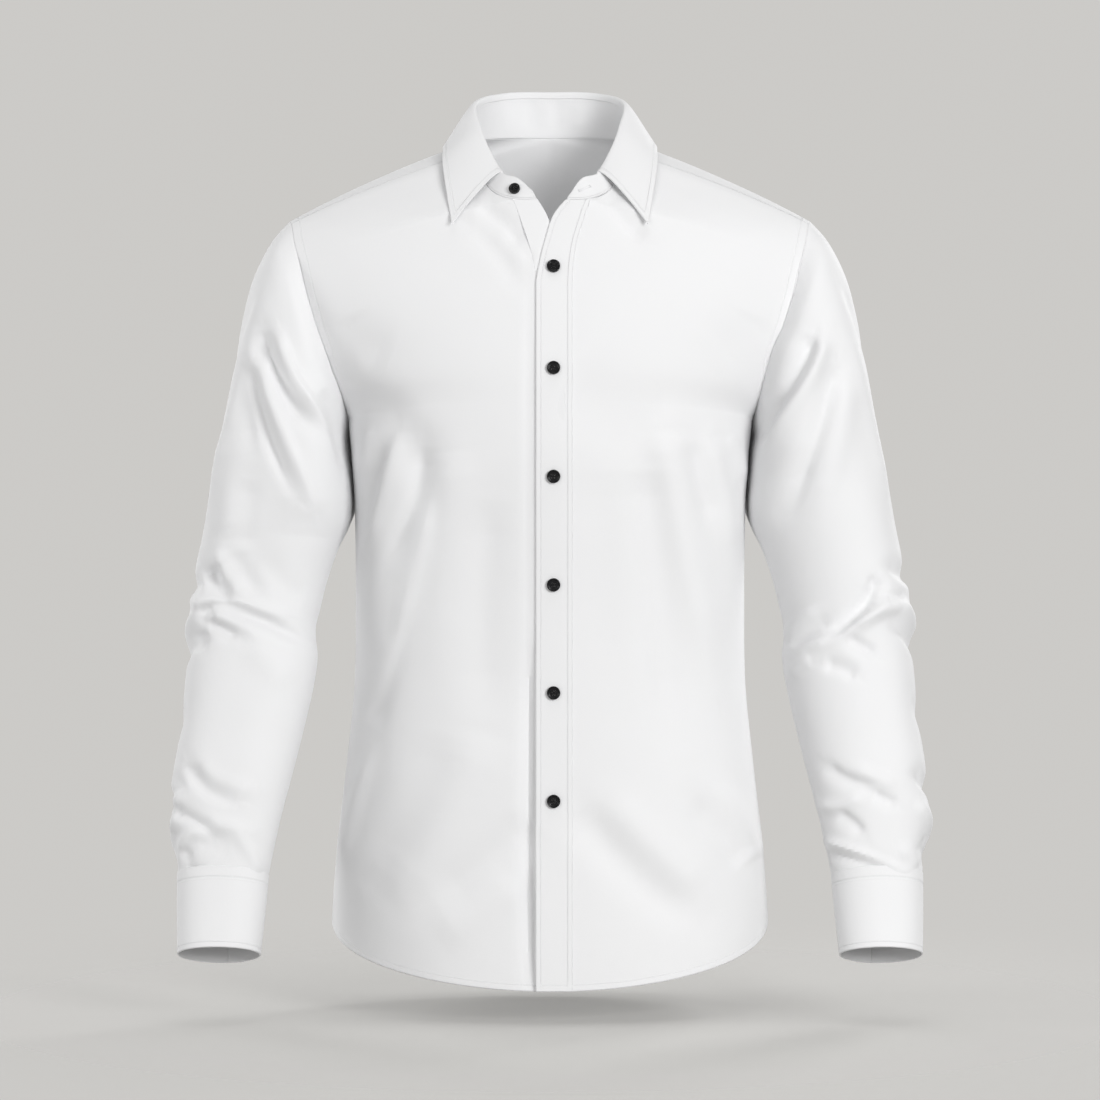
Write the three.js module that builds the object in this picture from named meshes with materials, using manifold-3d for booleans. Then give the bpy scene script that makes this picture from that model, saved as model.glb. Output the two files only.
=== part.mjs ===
// A long sleeve dress shirt, worn but hollow, so that the cloth keeps the form of a general figure.
// Millimetres, +Z up, front towards -Y, the wearer's left at +X, origin in the middle of the neck.
import * as THREE from "three";
import { mergeVertices } from "three/addons/utils/BufferGeometryUtils.js";
import Module from "manifold-3d";

const wasm = await Module();
wasm.setup();

// Cloth and seams
const CLOTH_WALL = 1.2; // fronts, back, yoke and sleeves
const LINED_WALL = 1.5; // bands, cuffs, stand and leaf, which are two layers and a stiffener
const SEAM_GAP = 0.3; // between two pieces that are sewn together
const STACK_GAP = 0.4; // between a piece and the panel that it lies on
const SAME_LENGTH = 0.01; // lengths and places that differ by less than this count as the same

// How finely each step of the tables is divided
const COLUMNS = 10; // from the centre to the side, on one half of the body
const LOW_ROWS = 2; // rows for each step below the armpit
const ARMHOLE_ROWS = 1; // rows for each step beside the front armhole
const BACK_ROWS = 2; // rows for each step beside the back armhole
const YOKE_ROWS = 2; // rows for each step of the yoke
const COLLAR_COLUMNS = 3; // columns for each step round the neck
const BAND_COLUMNS = 2;
const PLACKET_COLUMNS = 3;

// Buttons
const FRONT_BUTTON = 11.4;
const COLLAR_BUTTON = 9.8;
const CUFF_BUTTON = 11.4;
const BUTTON_HEIGHT = 2.6;
const BUTTON_COUNT = 6;
const BUTTON_X = 3; // the row of buttons, beside the body's centre
const TOP_BUTTON_Z = -101;
const TOP_SPACING = 87.5; // between the first two front buttons
const BUTTON_SPACING = 92; // between the others
const BUTTON_SIDES = 12;
const BUTTON_EDGE = 0.6; // the bevels at its back and front
const RIM_WIDTH = 1.2;
const RIM_DEPTH = 0.9;
const HOLE_RADIUS = 0.75;
const HOLE_SIDES = 5;
const HOLE_SPREAD = 0.11; // from the middle to a hole, each way, as a share of the diameter
const COLLAR_BUTTON_STEP = -6; // its place round the neck, on the wearer's right
const COLLAR_BUTTON_SHARE = 0.45; // its place between the stand's foot and its top
const NEAR = 0.01; // the step to a neighbouring point, for a surface's direction

// The side seam, from the hem to the armpit
const SIDE_SEAM = table(["x", "y", "z"], [
  [192, 4, -667],
  [190, 4, -635],
  [186, 4, -592],
  [179, 4, -530],
  [172, 4, -460],
  [171, 4, -390],
  [171.5, 4, -320],
  [174, 4, -270],
  [178, 5, -230],
]);

// The armhole seam, from the armpit up to the yoke's front corner
const ARMHOLE_FRONT = table(["x", "y", "z"], [
  [178, 5, -230],
  [184, -24, -208],
  [193, -38, -178],
  [203, -44, -148],
  [212, -42, -118],
  [218, -36, -94],
  [223, -27, -76],
  [225.5, -18, -64],
  [227, -10, -57],
]);

// The armhole seam, from the armpit up to the yoke's back corner
const ARMHOLE_BACK = table(["x", "y", "z"], [
  [178, 5, -230],
  [183, 34, -210],
  [189, 49, -182],
  [197, 55, -150],
  [206, 53, -118],
  [214, 45, -90],
]);

// The armhole seam over the shoulder, from the yoke's back corner to its front corner
const ARMHOLE_YOKE = table(["x", "y", "z"], [
  [214, 45, -90],
  [220, 36, -75],
  [225, 25, -64],
  [228.5, 13, -57],
  [229, 1, -54],
  [227, -10, -57],
]);

// The neck seam, from the centre back to the end of the stand
const NECK_SEAM = table(["x", "y", "z"], [
  [0, 62, 26],
  [42, 52, 25],
  [68, 15, 18],
  [68, -19, 4],
  [62, -40, -15],
  [50, -60, -33],
  [32, -73, -41],
  [14, -74.5, -41.5],
]);
const NECK_AT_YOKE = 3; // the step of the neck seam where the yoke's front seam starts
const NECK_AT_FRONT = 6; // the step where the fronts' inner edges start

// The centre front from the hem to the neck: depth in front of the origin, the arc in degrees that a
// row turns through on its way to the side, and how late in the row its height changes
const CENTRE_FRONT = table(["z", "depth", "arc", "fall"], [
  [-718, 113, 90, 1.7],
  [-660, 112, 90, 1.7],
  [-600, 110, 90, 1.7],
  [-530, 107.5, 90, 1.5],
  [-460, 106, 90, 1.5],
  [-390, 107, 90, 1.5],
  [-320, 112, 90, 1.5],
  [-262, 115.5, 90, 1.5],
  [-215, 115, 88, 1.5],
  [-185, 112.5, 80, 1.4],
  [-150, 106, 72, 1.3],
  [-115, 97.5, 64, 1.2],
  [-78, 86, 56, 1.1],
  [-41, 74, 48, 1.1],
]);
const ARMPIT_STEP = 8;
const FRONT_NECK_STEP = 13;
const YOKE_ARC = 40; // the arc of a row at the yoke's front seam

const CENTRE_BACK = table(["z", "depth", "arc", "fall"], [
  [-730, 110, 90, 1.7],
  [-668, 107, 90, 1.7],
  [-602, 103, 90, 1.7],
  [-530, 98, 90, 1.5],
  [-460, 94, 90, 1.5],
  [-390, 95, 90, 1.5],
  [-320, 103, 90, 1.5],
  [-262, 110, 90, 1.5],
  [-218, 112, 88, 1.5],
  [-188, 112.5, 78, 1.4],
  [-158, 111.5, 70, 1.3],
  [-126, 109, 62, 1.2],
  [-98, 105, 54, 1.4],
  [-72, 100, 47, 1.8],
]);

// The centre back of the yoke, from its back seam to the neck
const YOKE_BACK = table(["y", "z", "arc", "fall"], [
  [100, -72, 47, 1.8],
  [85, -20, 44, 1.4],
  [62, 26, 40, 1.1],
]);

// The opening's edges below the neck, by steps of CENTRE_FRONT from 11 to 13, straight further down
const OPENING = table(["bandSeam", "bandEdge", "panelEdge", "placketLeft", "placketRight"], [
  [-11, 13, 14.5, -12, 19],
  [-19, 4.5, 18, -4, 23],
  [-32, -13.5, 32, 14, 35],
]);
const OPENING_FROM = 11;
const PLACKET_DROP = 0.06; // how far the placket stays below the neck seam, in steps

// Rings of the sleeve below the armhole: the outline's outer and inner points, the ring's middle in
// depth, its half depth, and how many degrees its front is raised
const SLEEVE = table(["outX", "outZ", "inX", "inZ", "midY", "depth", "tilt"], [
  [244, -71, 188, -241, 3, 61, 0],
  [259, -100, 185, -256, 2, 65, 0],
  [269, -132, 182, -272, 1, 67, 0],
  [278, -175, 180, -288, -1, 67, 0],
  [285, -220, 178.5, -304, -3, 65, 2],
  [292, -260, 181, -322, -5, 62, 3],
  [299, -300, 189, -343, -8, 59, 5],
  [306, -338, 195, -368, -11, 56, 7],
  [313, -370, 201, -393, -15, 54, 9],
  [314.5, -394, 205, -412, -19, 52, 11],
  [315, -420, 203, -436, -24, 52, 13],
  [317, -448, 206, -461, -31, 51, 14],
  [319, -480, 212, -490, -40, 49, 15],
  [322, -508, 218, -516, -48, 47, 16],
  [325, -536, 224, -541, -57, 45, 17],
  [326, -562, 230, -565, -65, 42, 18],
  [324, -588, 235, -588, -72, 38, 18],
  [319.5, -620, 241.5, -621, -80, 34, 18],
]);

const CUFF = table(["outX", "outZ", "inX", "inZ", "midY", "depth", "tilt"], [
  [320, -620.6, 241, -621.6, -80.2, 34.4, 18],
  [319, -655, 243.5, -655, -91, 34, 18],
  [317.5, -688, 246.5, -688, -102, 33.4, 18],
]);
const CUFF_TURN = 12; // degrees between the cuff's columns
const CUFF_COLUMNS = 32; // one whole turn and the overlap
const CUFF_OVERLAP = 2; // columns of the overlap
const CUFF_RISE = 8; // columns over which the outer end rises over the inner one
const CUFF_START = -98; // degrees on the ring at the inner end, on the hidden side
const CUFF_ROWS = 3;
const SLEEVE_PLACKET_ANGLE = -105; // its middle on the sleeve's rings
const SLEEVE_PLACKET_ROWS = 5; // the last rings of the sleeve that it covers

// The fold at the top of the stand, by the steps of NECK_SEAM
const STAND_TOP = table(["x", "y", "z"], [
  [0, 59, 65],
  [40, 50, 63],
  [65.5, 15, 51],
  [62, -17, 26],
  [54, -37, 4],
  [42, -54, -16],
  [28, -66, -22],
  [15, -72.5, -34],
]);
const STAND_LIFT = 0.5; // the stand's lower edge above the panels' neck edge
const STAND_ROWS = 2;

// The outer edge of the collar leaf and the rise of its roll above a straight fall, by the same steps
const LEAF_EDGE = table(["x", "y", "z", "roll"], [
  [0, 84, 19, 9],
  [55, 71, 18, 9],
  [90, 24, 16, 9],
  [94.5, -14, 5, 9],
  [92, -44, -20, 8],
  [84.5, -79, -63, 7],
]);
const LEAF_STEPS = 5; // the steps of NECK_SEAM that the leaf covers
const LEAF_ROWS = 5;
const ROLL_AT = 0.35; // where the roll's crest lies between the fold and the edge
const ROLL_RISE = 2.5; // the crest above the fold
const FOLD_CLEARANCE = 0.6; // added between the stand and the leaf, whose fold slants down to the front

// The largest folds, from one point through a second to a third as seen from the front, each with the
// width of its slope and its height, below zero for a trough
const FOLD_MARGIN = 0.1; // the share of a half wave that is left out at each end of a fold
const FOLD_FACING = 0.5; // how far towards the viewer the cloth faces where a fold has its full height
const FOLD_COLUMNS = ["x1", "z1", "x2", "z2", "x3", "z3", "width", "height"];
const FRONT_FOLDS = table(FOLD_COLUMNS, [
  [-134, -261, -144, -296, -157, -324, 8, 4],
  [-104, -282, -123, -352, -150, -455, 9, 4],
  [-152, -521, -168, -567, -179, -606, 8, 4],
  [-60, -337, -61, -400, -62, -465, 12, -3.5],
  [-66, -480, -90, -545, -141, -622, 12, -4],
  [-22, -576, -50, -600, -81, -622, 10, -2.5],
  [130, -278, 142, -300, 153, -324, 9, -3],
  [82, -324, 93, -405, 112, -500, 12, -4],
  [112, -297, 130, -384, 142, -414, 9, 3],
  [22, -535, 48, -572, 74, -608, 10, -3],
  [112, -541, 128, -562, 144, -581, 10, -3],
  [-192, -127, -170, -147, -147, -169, 12, -2.5],
]);
const BACK_FOLDS = table(FOLD_COLUMNS, [
  [-72, -300, -66, -430, -78, -600, 14, -4],
  [58, -330, 66, -450, 60, -620, 13, -4],
  [128, -270, 132, -330, 120, -410, 11, 3.5],
  [-132, -280, -126, -350, -130, -430, 11, 3.5],
]);
const RIGHT_SLEEVE_FOLDS = table(FOLD_COLUMNS, [
  [-238, -131, -209, -204, -183, -262, 8, 3],
  [-251, -143, -222, -213, -196, -272, 8, -4],
  [-255, -162, -238, -255, -221, -288, 8, 3],
  [-286, -349, -278, -368, -269, -387, 7, 3],
  [-272, -394, -242, -409, -211, -423, 8, -6],
  [-326, -543, -289, -565, -234, -548, 8, 5],
  [-309, -530, -290, -541, -271, -553, 8, -4],
  [-322, -577, -301, -581, -281, -583, 8, -4],
]);
const LEFT_SLEEVE_FOLDS = table(FOLD_COLUMNS, [
  [226, -159, 211, -188, 182, -252, 9, -4],
  [249, -180, 229, -255, 217, -288, 9, -4],
  [281, -373, 264, -400, 206, -431, 8, -6],
  [251, -416, 265, -422, 279, -427, 7, -3],
  [254, -535, 273, -543, 297, -557, 8, -4],
  [234, -563, 254, -556, 273, -548, 8, 4],
  [237, -597, 281, -606, 306, -616, 8, 4.5],
]);

// Rows of numbers as records under named columns
function table(columns, rows) {
  return rows.map((row) => Object.fromEntries(columns.map((name, i) => [name, row[i]])));
}

// The smooth curve through four values, between the middle two
function between(a, b, c, d, t) {
  const slopeB = (c - a) / 2;
  const slopeC = (d - b) / 2;
  const t2 = t * t;
  const t3 = t2 * t;
  return (2 * t3 - 3 * t2 + 1) * b + (t3 - 2 * t2 + t) * slopeB + (3 * t2 - 2 * t3) * c + (t3 - t2) * slopeC;
}

// A table's columns at a step that may lie between two rows
function sample(rows, step) {
  const last = rows.length - 1;
  const first = Math.max(0, Math.min(Math.floor(step), last - 1));
  const near = [-1, 0, 1, 2].map((i) => rows[Math.max(0, Math.min(last, first + i))]);
  const value = (name) => between(...near.map((row) => row[name]), step - first);
  return Object.fromEntries(Object.keys(rows[0]).map((name) => [name, value(name)]));
}

const pointOf = ({ x, y, z }) => new THREE.Vector3(x, y, z);
const mirrored = (point) => new THREE.Vector3(-point.x, point.y, point.z);

// Steps from one to another, each divided into the same number of parts
function stepsBetween(from, to, parts) {
  const count = Math.round(Math.abs(to - from) * parts);
  return Array.from({ length: count + 1 }, (_, i) => from + ((to - from) * i) / count);
}

// The body's surface

// A point on an arc that is flat where the body's centre is and turned away at its outer end
function arcPoint(inner, outer, arc, fall, x) {
  const turned = (value) => Math.asin(Math.min(1, (Math.abs(value) / outer.x) * Math.sin(arc)));
  const start = turned(inner.x);
  const angle = turned(x);
  const share = Math.max(0, (angle - start) / (arc - start));
  const bend = (Math.cos(start) - Math.cos(angle)) / (Math.cos(start) - Math.cos(arc));
  const y = inner.y + (outer.y - inner.y) * bend;
  return new THREE.Vector3(x, y, inner.z + (outer.z - inner.z) * share ** fall);
}

// A row of points from an inner point to an outer one, evenly spaced in the arc's angle
function arcRow({ inner, outer, arc, fall }) {
  const start = Math.asin((inner.x / outer.x) * Math.sin(arc));
  return Array.from({ length: COLUMNS + 1 }, (_, column) => {
    const angle = start + ((arc - start) * column) / COLUMNS;
    const x = (outer.x * Math.sin(angle)) / Math.sin(arc);
    return arcPoint(inner, outer, arc, fall, x);
  });
}

const radians = THREE.MathUtils.degToRad;
const SEAM_FALL = 1.1; // how late the height changes along a row at the shoulder

// The opening's edges at a step
function openingAt(step) {
  return sample(OPENING, Math.max(0, step - OPENING_FROM));
}

// Where the front's rows start and end at a step, for an inner edge that lies at innerX below the neck
function frontFrame(step, innerX) {
  if (step > FRONT_NECK_STEP) {
    const above = (step - FRONT_NECK_STEP) / (NECK_AT_FRONT - NECK_AT_YOKE);
    const last = CENTRE_FRONT[FRONT_NECK_STEP];
    return {
      inner: pointOf(sample(NECK_SEAM, NECK_AT_FRONT - (step - FRONT_NECK_STEP))),
      outer: pointOf(sample(ARMHOLE_FRONT, step - ARMPIT_STEP)),
      arc: radians(last.arc + (YOKE_ARC - last.arc) * above),
      fall: SEAM_FALL,
    };
  }
  const { z, depth, arc: degrees, fall } = sample(CENTRE_FRONT, step);
  const seam = step <= ARMPIT_STEP ? sample(SIDE_SEAM, step) : sample(ARMHOLE_FRONT, step - ARMPIT_STEP);
  const outer = pointOf(seam);
  const arc = radians(degrees);
  const centre = new THREE.Vector3(0, -depth, z);
  const inner = arcPoint(centre, outer, arc, fall, innerX);
  return { inner: inner.setZ(z), outer, arc, fall };
}

// A point of the front at a step below the neck, x beside the centre
function frontPoint(step, x) {
  const { inner, outer, arc, fall } = frontFrame(step, Math.abs(openingAt(step).panelEdge));
  const { depth } = sample(CENTRE_FRONT, step);
  const centre = new THREE.Vector3(0, -depth, inner.z);
  const { y } = arcPoint(centre, outer, arc, fall, x);
  const { z } = arcPoint(inner, outer, arc, fall, x);
  return new THREE.Vector3(x, y, z);
}

// Where the back's rows start and end at a step
function backFrame(step) {
  const { z, depth, arc, fall } = sample(CENTRE_BACK, step);
  const seam = step <= ARMPIT_STEP ? sample(SIDE_SEAM, step) : sample(ARMHOLE_BACK, step - ARMPIT_STEP);
  return { inner: new THREE.Vector3(0, depth, z), outer: pointOf(seam), arc: radians(arc), fall };
}

// Where the yoke's rows start and end, from its back seam up to the neck and round to its front seam
function yokeFrame(step) {
  const neckStep = YOKE_BACK.length - 1;
  const outer = pointOf(sample(ARMHOLE_YOKE, step));
  if (step > neckStep) {
    const inner = pointOf(sample(NECK_SEAM, step - neckStep));
    return { inner, outer, arc: radians(YOKE_ARC), fall: SEAM_FALL };
  }
  const { y, z, arc, fall } = sample(YOKE_BACK, step);
  return { inner: new THREE.Vector3(0, y, z), outer, arc: radians(arc), fall };
}

// The sleeve's surface

// A point of a sleeve's or cuff's ring: 0 degrees is the outer side, 90 the front and 180 the inner side
function ringPoint({ outX, outZ, inX, inZ, midY, depth, tilt }, degrees) {
  const angle = radians(degrees);
  const lean = radians(tilt);
  const halfway = Math.cos(angle) / 2;
  const forward = Math.sin(angle) * depth;
  return new THREE.Vector3(
    (outX + inX) / 2 + (outX - inX) * halfway,
    midY - forward * Math.cos(lean),
    (outZ + inZ) / 2 + (outZ - inZ) * halfway + forward * Math.sin(lean),
  );
}

// The armhole's points from the armpit up the front, over the yoke and down the back to the armpit
function armholeLoop() {
  const along = (rows, from, to, parts) => stepsBetween(from, to, parts).map((step) => sample(rows, step));
  const front = along(ARMHOLE_FRONT, 0, ARMHOLE_FRONT.length - 1, ARMHOLE_ROWS);
  const yoke = along(ARMHOLE_YOKE, ARMHOLE_YOKE.length - 1, 0, YOKE_ROWS);
  const back = along(ARMHOLE_BACK, ARMHOLE_BACK.length - 1, 0, BACK_ROWS);
  return [...front, ...yoke.slice(1), ...back.slice(1)].map(pointOf);
}

// Each point's angle on the sleeve's rings: 180 at the armpit, 0 at the top, then down to -180
function armholeAngles(loop) {
  const reached = [0];
  for (let i = 1; i < loop.length; i += 1) reached.push(reached[i - 1] + loop[i].distanceTo(loop[i - 1]));
  const highest = loop.reduce((best, point, i) => (point.z > loop[best].z ? i : best), 0);
  const rise = reached[highest];
  const descent = reached.at(-1) - rise;
  return reached.map((length) => (180 * (rise - length)) / (length < rise ? rise : descent));
}

// Pieces of cloth

// How much a fold moves a point in or out, seen from the front
function foldHeight(fold, point) {
  const corners = [[fold.x1, fold.z1], [fold.x2, fold.z2], [fold.x3, fold.z3]];
  let nearest = Infinity;
  let along = 0;
  for (let i = 0; i < 2; i += 1) {
    const [fromX, fromZ] = corners[i];
    const [stepX, stepZ] = [corners[i + 1][0] - fromX, corners[i + 1][1] - fromZ];
    const raw = ((point.x - fromX) * stepX + (point.z - fromZ) * stepZ) / (stepX ** 2 + stepZ ** 2);
    const share = THREE.MathUtils.clamp(raw, 0, 1);
    const distance = Math.hypot(point.x - fromX - stepX * share, point.z - fromZ - stepZ * share);
    if (distance < nearest) {
      nearest = distance;
      along = (i + share) / 2;
    }
  }
  const taper = Math.min(1, 2 * Math.sin(Math.PI * (FOLD_MARGIN + (1 - 2 * FOLD_MARGIN) * along)));
  return fold.height * taper * Math.exp(-(nearest ** 2) / (2 * fold.width ** 2));
}

// Panels of cloth that share the points of their seams, so that their walls meet in a mitre
class Cloth {
  points = [];
  panels = new Map(); // each panel's four-sided faces
  grids = new Map(); // each panel's rows of point numbers
  #numbers = new Map();

  // The number of a point, the same for every panel that has it
  #number(point) {
    const key = point.toArray().map((value) => Math.round(value / SAME_LENGTH)).join();
    if (!this.#numbers.has(key)) this.#numbers.set(key, this.points.push(point.clone()) - 1);
    return this.#numbers.get(key);
  }

  // A face that starts at an end of its shorter diagonal, along which it is halved
  #shorterFirst(face) {
    const [a, b, c, d] = face.map((number) => this.points[number]);
    return a.distanceTo(c) <= b.distanceTo(d) + SAME_LENGTH ? face : [...face.slice(1), face[0]];
  }

  // Rows of points become faces of the named panel; turned where its columns run clockwise
  add(name, rows, turned = false) {
    const grid = rows.map((row) => row.map((point) => this.#number(point)));
    const faces = this.panels.get(name) ?? [];
    for (let r = 1; r < grid.length; r += 1) {
      for (let c = 1; c < grid[r].length; c += 1) {
        const face = [grid[r - 1][c - 1], grid[r - 1][c], grid[r][c], grid[r][c - 1]];
        faces.push(this.#shorterFirst(turned ? face.reverse() : face));
      }
    }
    this.panels.set(name, faces);
    this.grids.set(name, grid);
    return this;
  }

  // The outward direction at each point, over all the panels that meet there
  normals() {
    const sums = this.points.map(() => new THREE.Vector3());
    for (const faces of this.panels.values()) {
      for (const face of faces) {
        const [a, b, c, d] = face.map((number) => this.points[number]);
        const across = new THREE.Vector3().subVectors(c, a).cross(new THREE.Vector3().subVectors(d, b));
        face.forEach((number) => sums[number].add(across));
      }
    }
    return sums.map((sum) => sum.normalize());
  }

  // The named panels' points go in or out by the folds, where the cloth faces the given way in Y
  fold(names, folds, facing) {
    const normals = this.normals();
    const touched = new Set(names.flatMap((name) => this.panels.get(name).flat()));
    for (const number of touched) {
      const shown = THREE.MathUtils.smoothstep(normals[number].y * facing, 0, FOLD_FACING);
      const point = this.points[number];
      const height = folds.reduce((sum, fold) => sum + foldHeight(fold, point), 0);
      point.addScaledVector(normals[number], height * shown);
    }
  }

  // A panel's outer edges, each in the direction that its face has
  #rim(faces) {
    const edges = faces.flatMap((face) => face.map((from, i) => [from, face[(i + 1) % face.length]]));
    const known = new Set(edges.map(([from, to]) => `${from} ${to}`));
    return edges.filter(([from, to]) => !known.has(`${to} ${from}`));
  }

  // How far each point of a rim draws in, to leave half a seam's gap on its own side
  #insets(rim, normals) {
    const inward = new Map();
    for (const [from, to] of rim) {
      const along = new THREE.Vector3().subVectors(this.points[to], this.points[from]);
      for (const number of [from, to]) {
        const direction = normals[number].clone().cross(along).normalize();
        inward.set(number, [...(inward.get(number) ?? []), direction]);
      }
    }
    const insets = new Map();
    for (const [number, directions] of inward) {
      const sum = directions.reduce((total, direction) => total.add(direction), new THREE.Vector3());
      const spread = Math.max(1, sum.lengthSq() / directions.length);
      insets.set(number, sum.multiplyScalar(SEAM_GAP / 2 / spread));
    }
    return insets;
  }

  // The closed wall of a panel, its outer side on the panel's points and its inner side below them
  wall(name, thickness) {
    const faces = this.panels.get(name);
    const normals = this.normals();
    const rim = this.#rim(faces);
    const insets = this.#insets(rim, normals);
    const used = [...new Set(faces.flat())];
    const place = new Map(used.map((number, i) => [number, i]));
    const positions = [0, thickness].flatMap((below) => used.flatMap((number) => {
      const point = this.points[number].clone().addScaledVector(normals[number], -below);
      return point.add(insets.get(number) ?? new THREE.Vector3()).toArray();
    }));
    const inner = used.length;
    const index = [];
    for (const face of faces) {
      const [a, b, c, d] = face.map((number) => place.get(number));
      index.push(a, b, c, a, c, d);
      index.push(inner + a, inner + c, inner + b, inner + a, inner + d, inner + c);
    }
    for (const edge of rim) {
      const [from, to] = edge.map((number) => place.get(number));
      // The two panels of a seam halve its twisted faces along the same diagonal
      if (edge[0] < edge[1]) index.push(to, from, inner + from, to, inner + from, inner + to);
      else index.push(to, from, inner + to, from, inner + from, inner + to);
    }
    const geometry = new THREE.BufferGeometry();
    geometry.setAttribute("position", new THREE.Float32BufferAttribute(positions, 3));
    return geometry.setIndex(index);
  }
}

// Rows of points moved out from the surface that they lie on
function movedOut(rows, distance) {
  const sheet = new Cloth().add("sheet", rows);
  const normals = sheet.normals();
  return sheet.grids.get("sheet").map((row) => row.map((number) => (
    sheet.points[number].clone().addScaledVector(normals[number], distance)
  )));
}

// Finishes and meshes
const whiteCotton = { color: 0xf3f3f1, roughness: 0.85, metalness: 0 };
const blackResin = { color: 0x141414, roughness: 0.3, metalness: 0 };
const shirt = new THREE.Group();

// Adds a named piece with a material of its own
function addPiece(name, geometry, finish) {
  const mesh = new THREE.Mesh(geometry, new THREE.MeshStandardMaterial(finish));
  mesh.name = name;
  shirt.add(mesh);
  return mesh;
}

// Rows of the pieces on the body, on the wearer's left
const frontSteps = [
  ...stepsBetween(0, ARMPIT_STEP, LOW_ROWS),
  ...stepsBetween(ARMPIT_STEP, FRONT_NECK_STEP, ARMHOLE_ROWS).slice(1),
];
const frontStepsToYoke = [
  ...frontSteps,
  ...stepsBetween(FRONT_NECK_STEP, ARMPIT_STEP + ARMHOLE_FRONT.length - 1, ARMHOLE_ROWS).slice(1),
];
const backSteps = [
  ...stepsBetween(0, ARMPIT_STEP, LOW_ROWS),
  ...stepsBetween(ARMPIT_STEP, CENTRE_BACK.length - 1, BACK_ROWS).slice(1),
];
const yokeSteps = stepsBetween(0, ARMHOLE_YOKE.length - 1, YOKE_ROWS);

const mirroredRows = (rows) => rows.map((row) => row.map(mirrored));
const wholeRow = (row) => [...row.slice(1).reverse().map(mirrored), ...row];

// Points from one side of a strip to the other, on the front
function stripRow(step, left, right, columns) {
  const xs = Array.from({ length: columns + 1 }, (_, i) => left + ((right - left) * i) / columns);
  return xs.map((x) => frontPoint(step, x));
}

// The sleeve's rows from the armhole to the cuff
function sleeveRows(loop, angles) {
  return [loop, ...SLEEVE.map((ring) => angles.map((angle) => ringPoint(ring, angle)))];
}

// Fronts, back, yoke, band and sleeves share their seams
function makeBody(loop, angles) {
  const body = new Cloth();
  const leftFront = frontStepsToYoke.map((step) => arcRow(frontFrame(step, openingAt(step).panelEdge)));
  const rightFront = frontStepsToYoke.map((step) => arcRow(frontFrame(step, -openingAt(step).bandSeam)));
  const band = frontSteps.map((step) => {
    const { bandSeam, bandEdge } = openingAt(step);
    return stripRow(step, bandSeam, bandEdge, BAND_COLUMNS);
  });
  const yoke = yokeSteps.map((step) => arcRow(yokeFrame(step)));
  const sleeve = sleeveRows(loop, angles);
  body.add("front_left", leftFront);
  body.add("front_right", mirroredRows(rightFront), true);
  body.add("button_band", band);
  body.add("back", backSteps.map((step) => wholeRow(arcRow(backFrame(step)))), true);
  body.add("yoke", yoke, true).add("yoke", mirroredRows(yoke));
  body.add("sleeve_left", sleeve, true);
  body.add("sleeve_right", mirroredRows(sleeve));
  body.fold(["front_left", "front_right"], FRONT_FOLDS, -1);
  body.fold(["back"], BACK_FOLDS, 1);
  body.fold(["sleeve_left"], LEFT_SLEEVE_FOLDS, -1);
  body.fold(["sleeve_right"], RIGHT_SLEEVE_FOLDS, -1);
  return body;
}

// A strip of cloth by itself, its outer side on its rows
function addStrip(name, rows, thickness, turned) {
  return addPiece(name, new Cloth().add(name, rows, turned).wall(name, thickness), whiteCotton);
}

// The placket lies on the left front and over the button band
function placketRows() {
  const steps = [...frontSteps.slice(0, -1), FRONT_NECK_STEP - PLACKET_DROP];
  const rows = steps.map((step) => {
    const { placketLeft, placketRight } = openingAt(step);
    return stripRow(step, placketLeft, placketRight, PLACKET_COLUMNS);
  });
  return movedOut(rows, STACK_GAP + LINED_WALL);
}

// The collar

const collarSteps = stepsBetween(-LEAF_STEPS, LEAF_STEPS, COLLAR_COLUMNS);
const standSteps = stepsBetween(1 - NECK_SEAM.length, NECK_SEAM.length - 1, COLLAR_COLUMNS);

// A table's point at a step round the neck, below zero on the wearer's right
function roundNeck(rows, step) {
  const point = pointOf(sample(rows, Math.abs(step)));
  return step < 0 ? mirrored(point) : point;
}

// A point of the stand's outer side, from the panels' neck edge at 0 up to the fold at 1
function standPoint(step, height) {
  const parts = Math.abs(step) < NECK_AT_YOKE ? YOKE_ROWS : ARMHOLE_ROWS;
  const before = Math.floor(step * parts) / parts;
  const after = roundNeck(NECK_SEAM, before + 1 / parts);
  const foot = roundNeck(NECK_SEAM, before).lerp(after, (step - before) * parts);
  foot.z += STAND_LIFT;
  return foot.lerp(roundNeck(STAND_TOP, step), height);
}

// A point of the leaf's outer side, from the fold at 0 over its roll down to its edge at 1
function leafPoint(step, share) {
  const fold = roundNeck(STAND_TOP, step);
  fold.z += LINED_WALL + SEAM_GAP + FOLD_CLEARANCE;
  const edge = roundNeck(LEAF_EDGE, step);
  const { roll } = sample(LEAF_EDGE, Math.abs(step));
  const outward = new THREE.Vector3(edge.x - fold.x, edge.y - fold.y, 0).normalize();
  const crest = fold.clone().lerp(edge, ROLL_AT).addScaledVector(outward, roll).setZ(fold.z + ROLL_RISE);
  return new THREE.QuadraticBezierCurve3(fold, crest, edge).getPoint(share);
}

const rowsOf = (count, steps, pointAt) => Array.from({ length: count + 1 }, (_, row) => (
  steps.map((step) => pointAt(step, row / count))
));

function addCollar() {
  addStrip("collar_stand", rowsOf(STAND_ROWS, standSteps, standPoint), LINED_WALL, true);
  addStrip("collar_leaf", rowsOf(LEAF_ROWS, collarSteps, leafPoint), LINED_WALL, false);
}

// The cuffs

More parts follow.
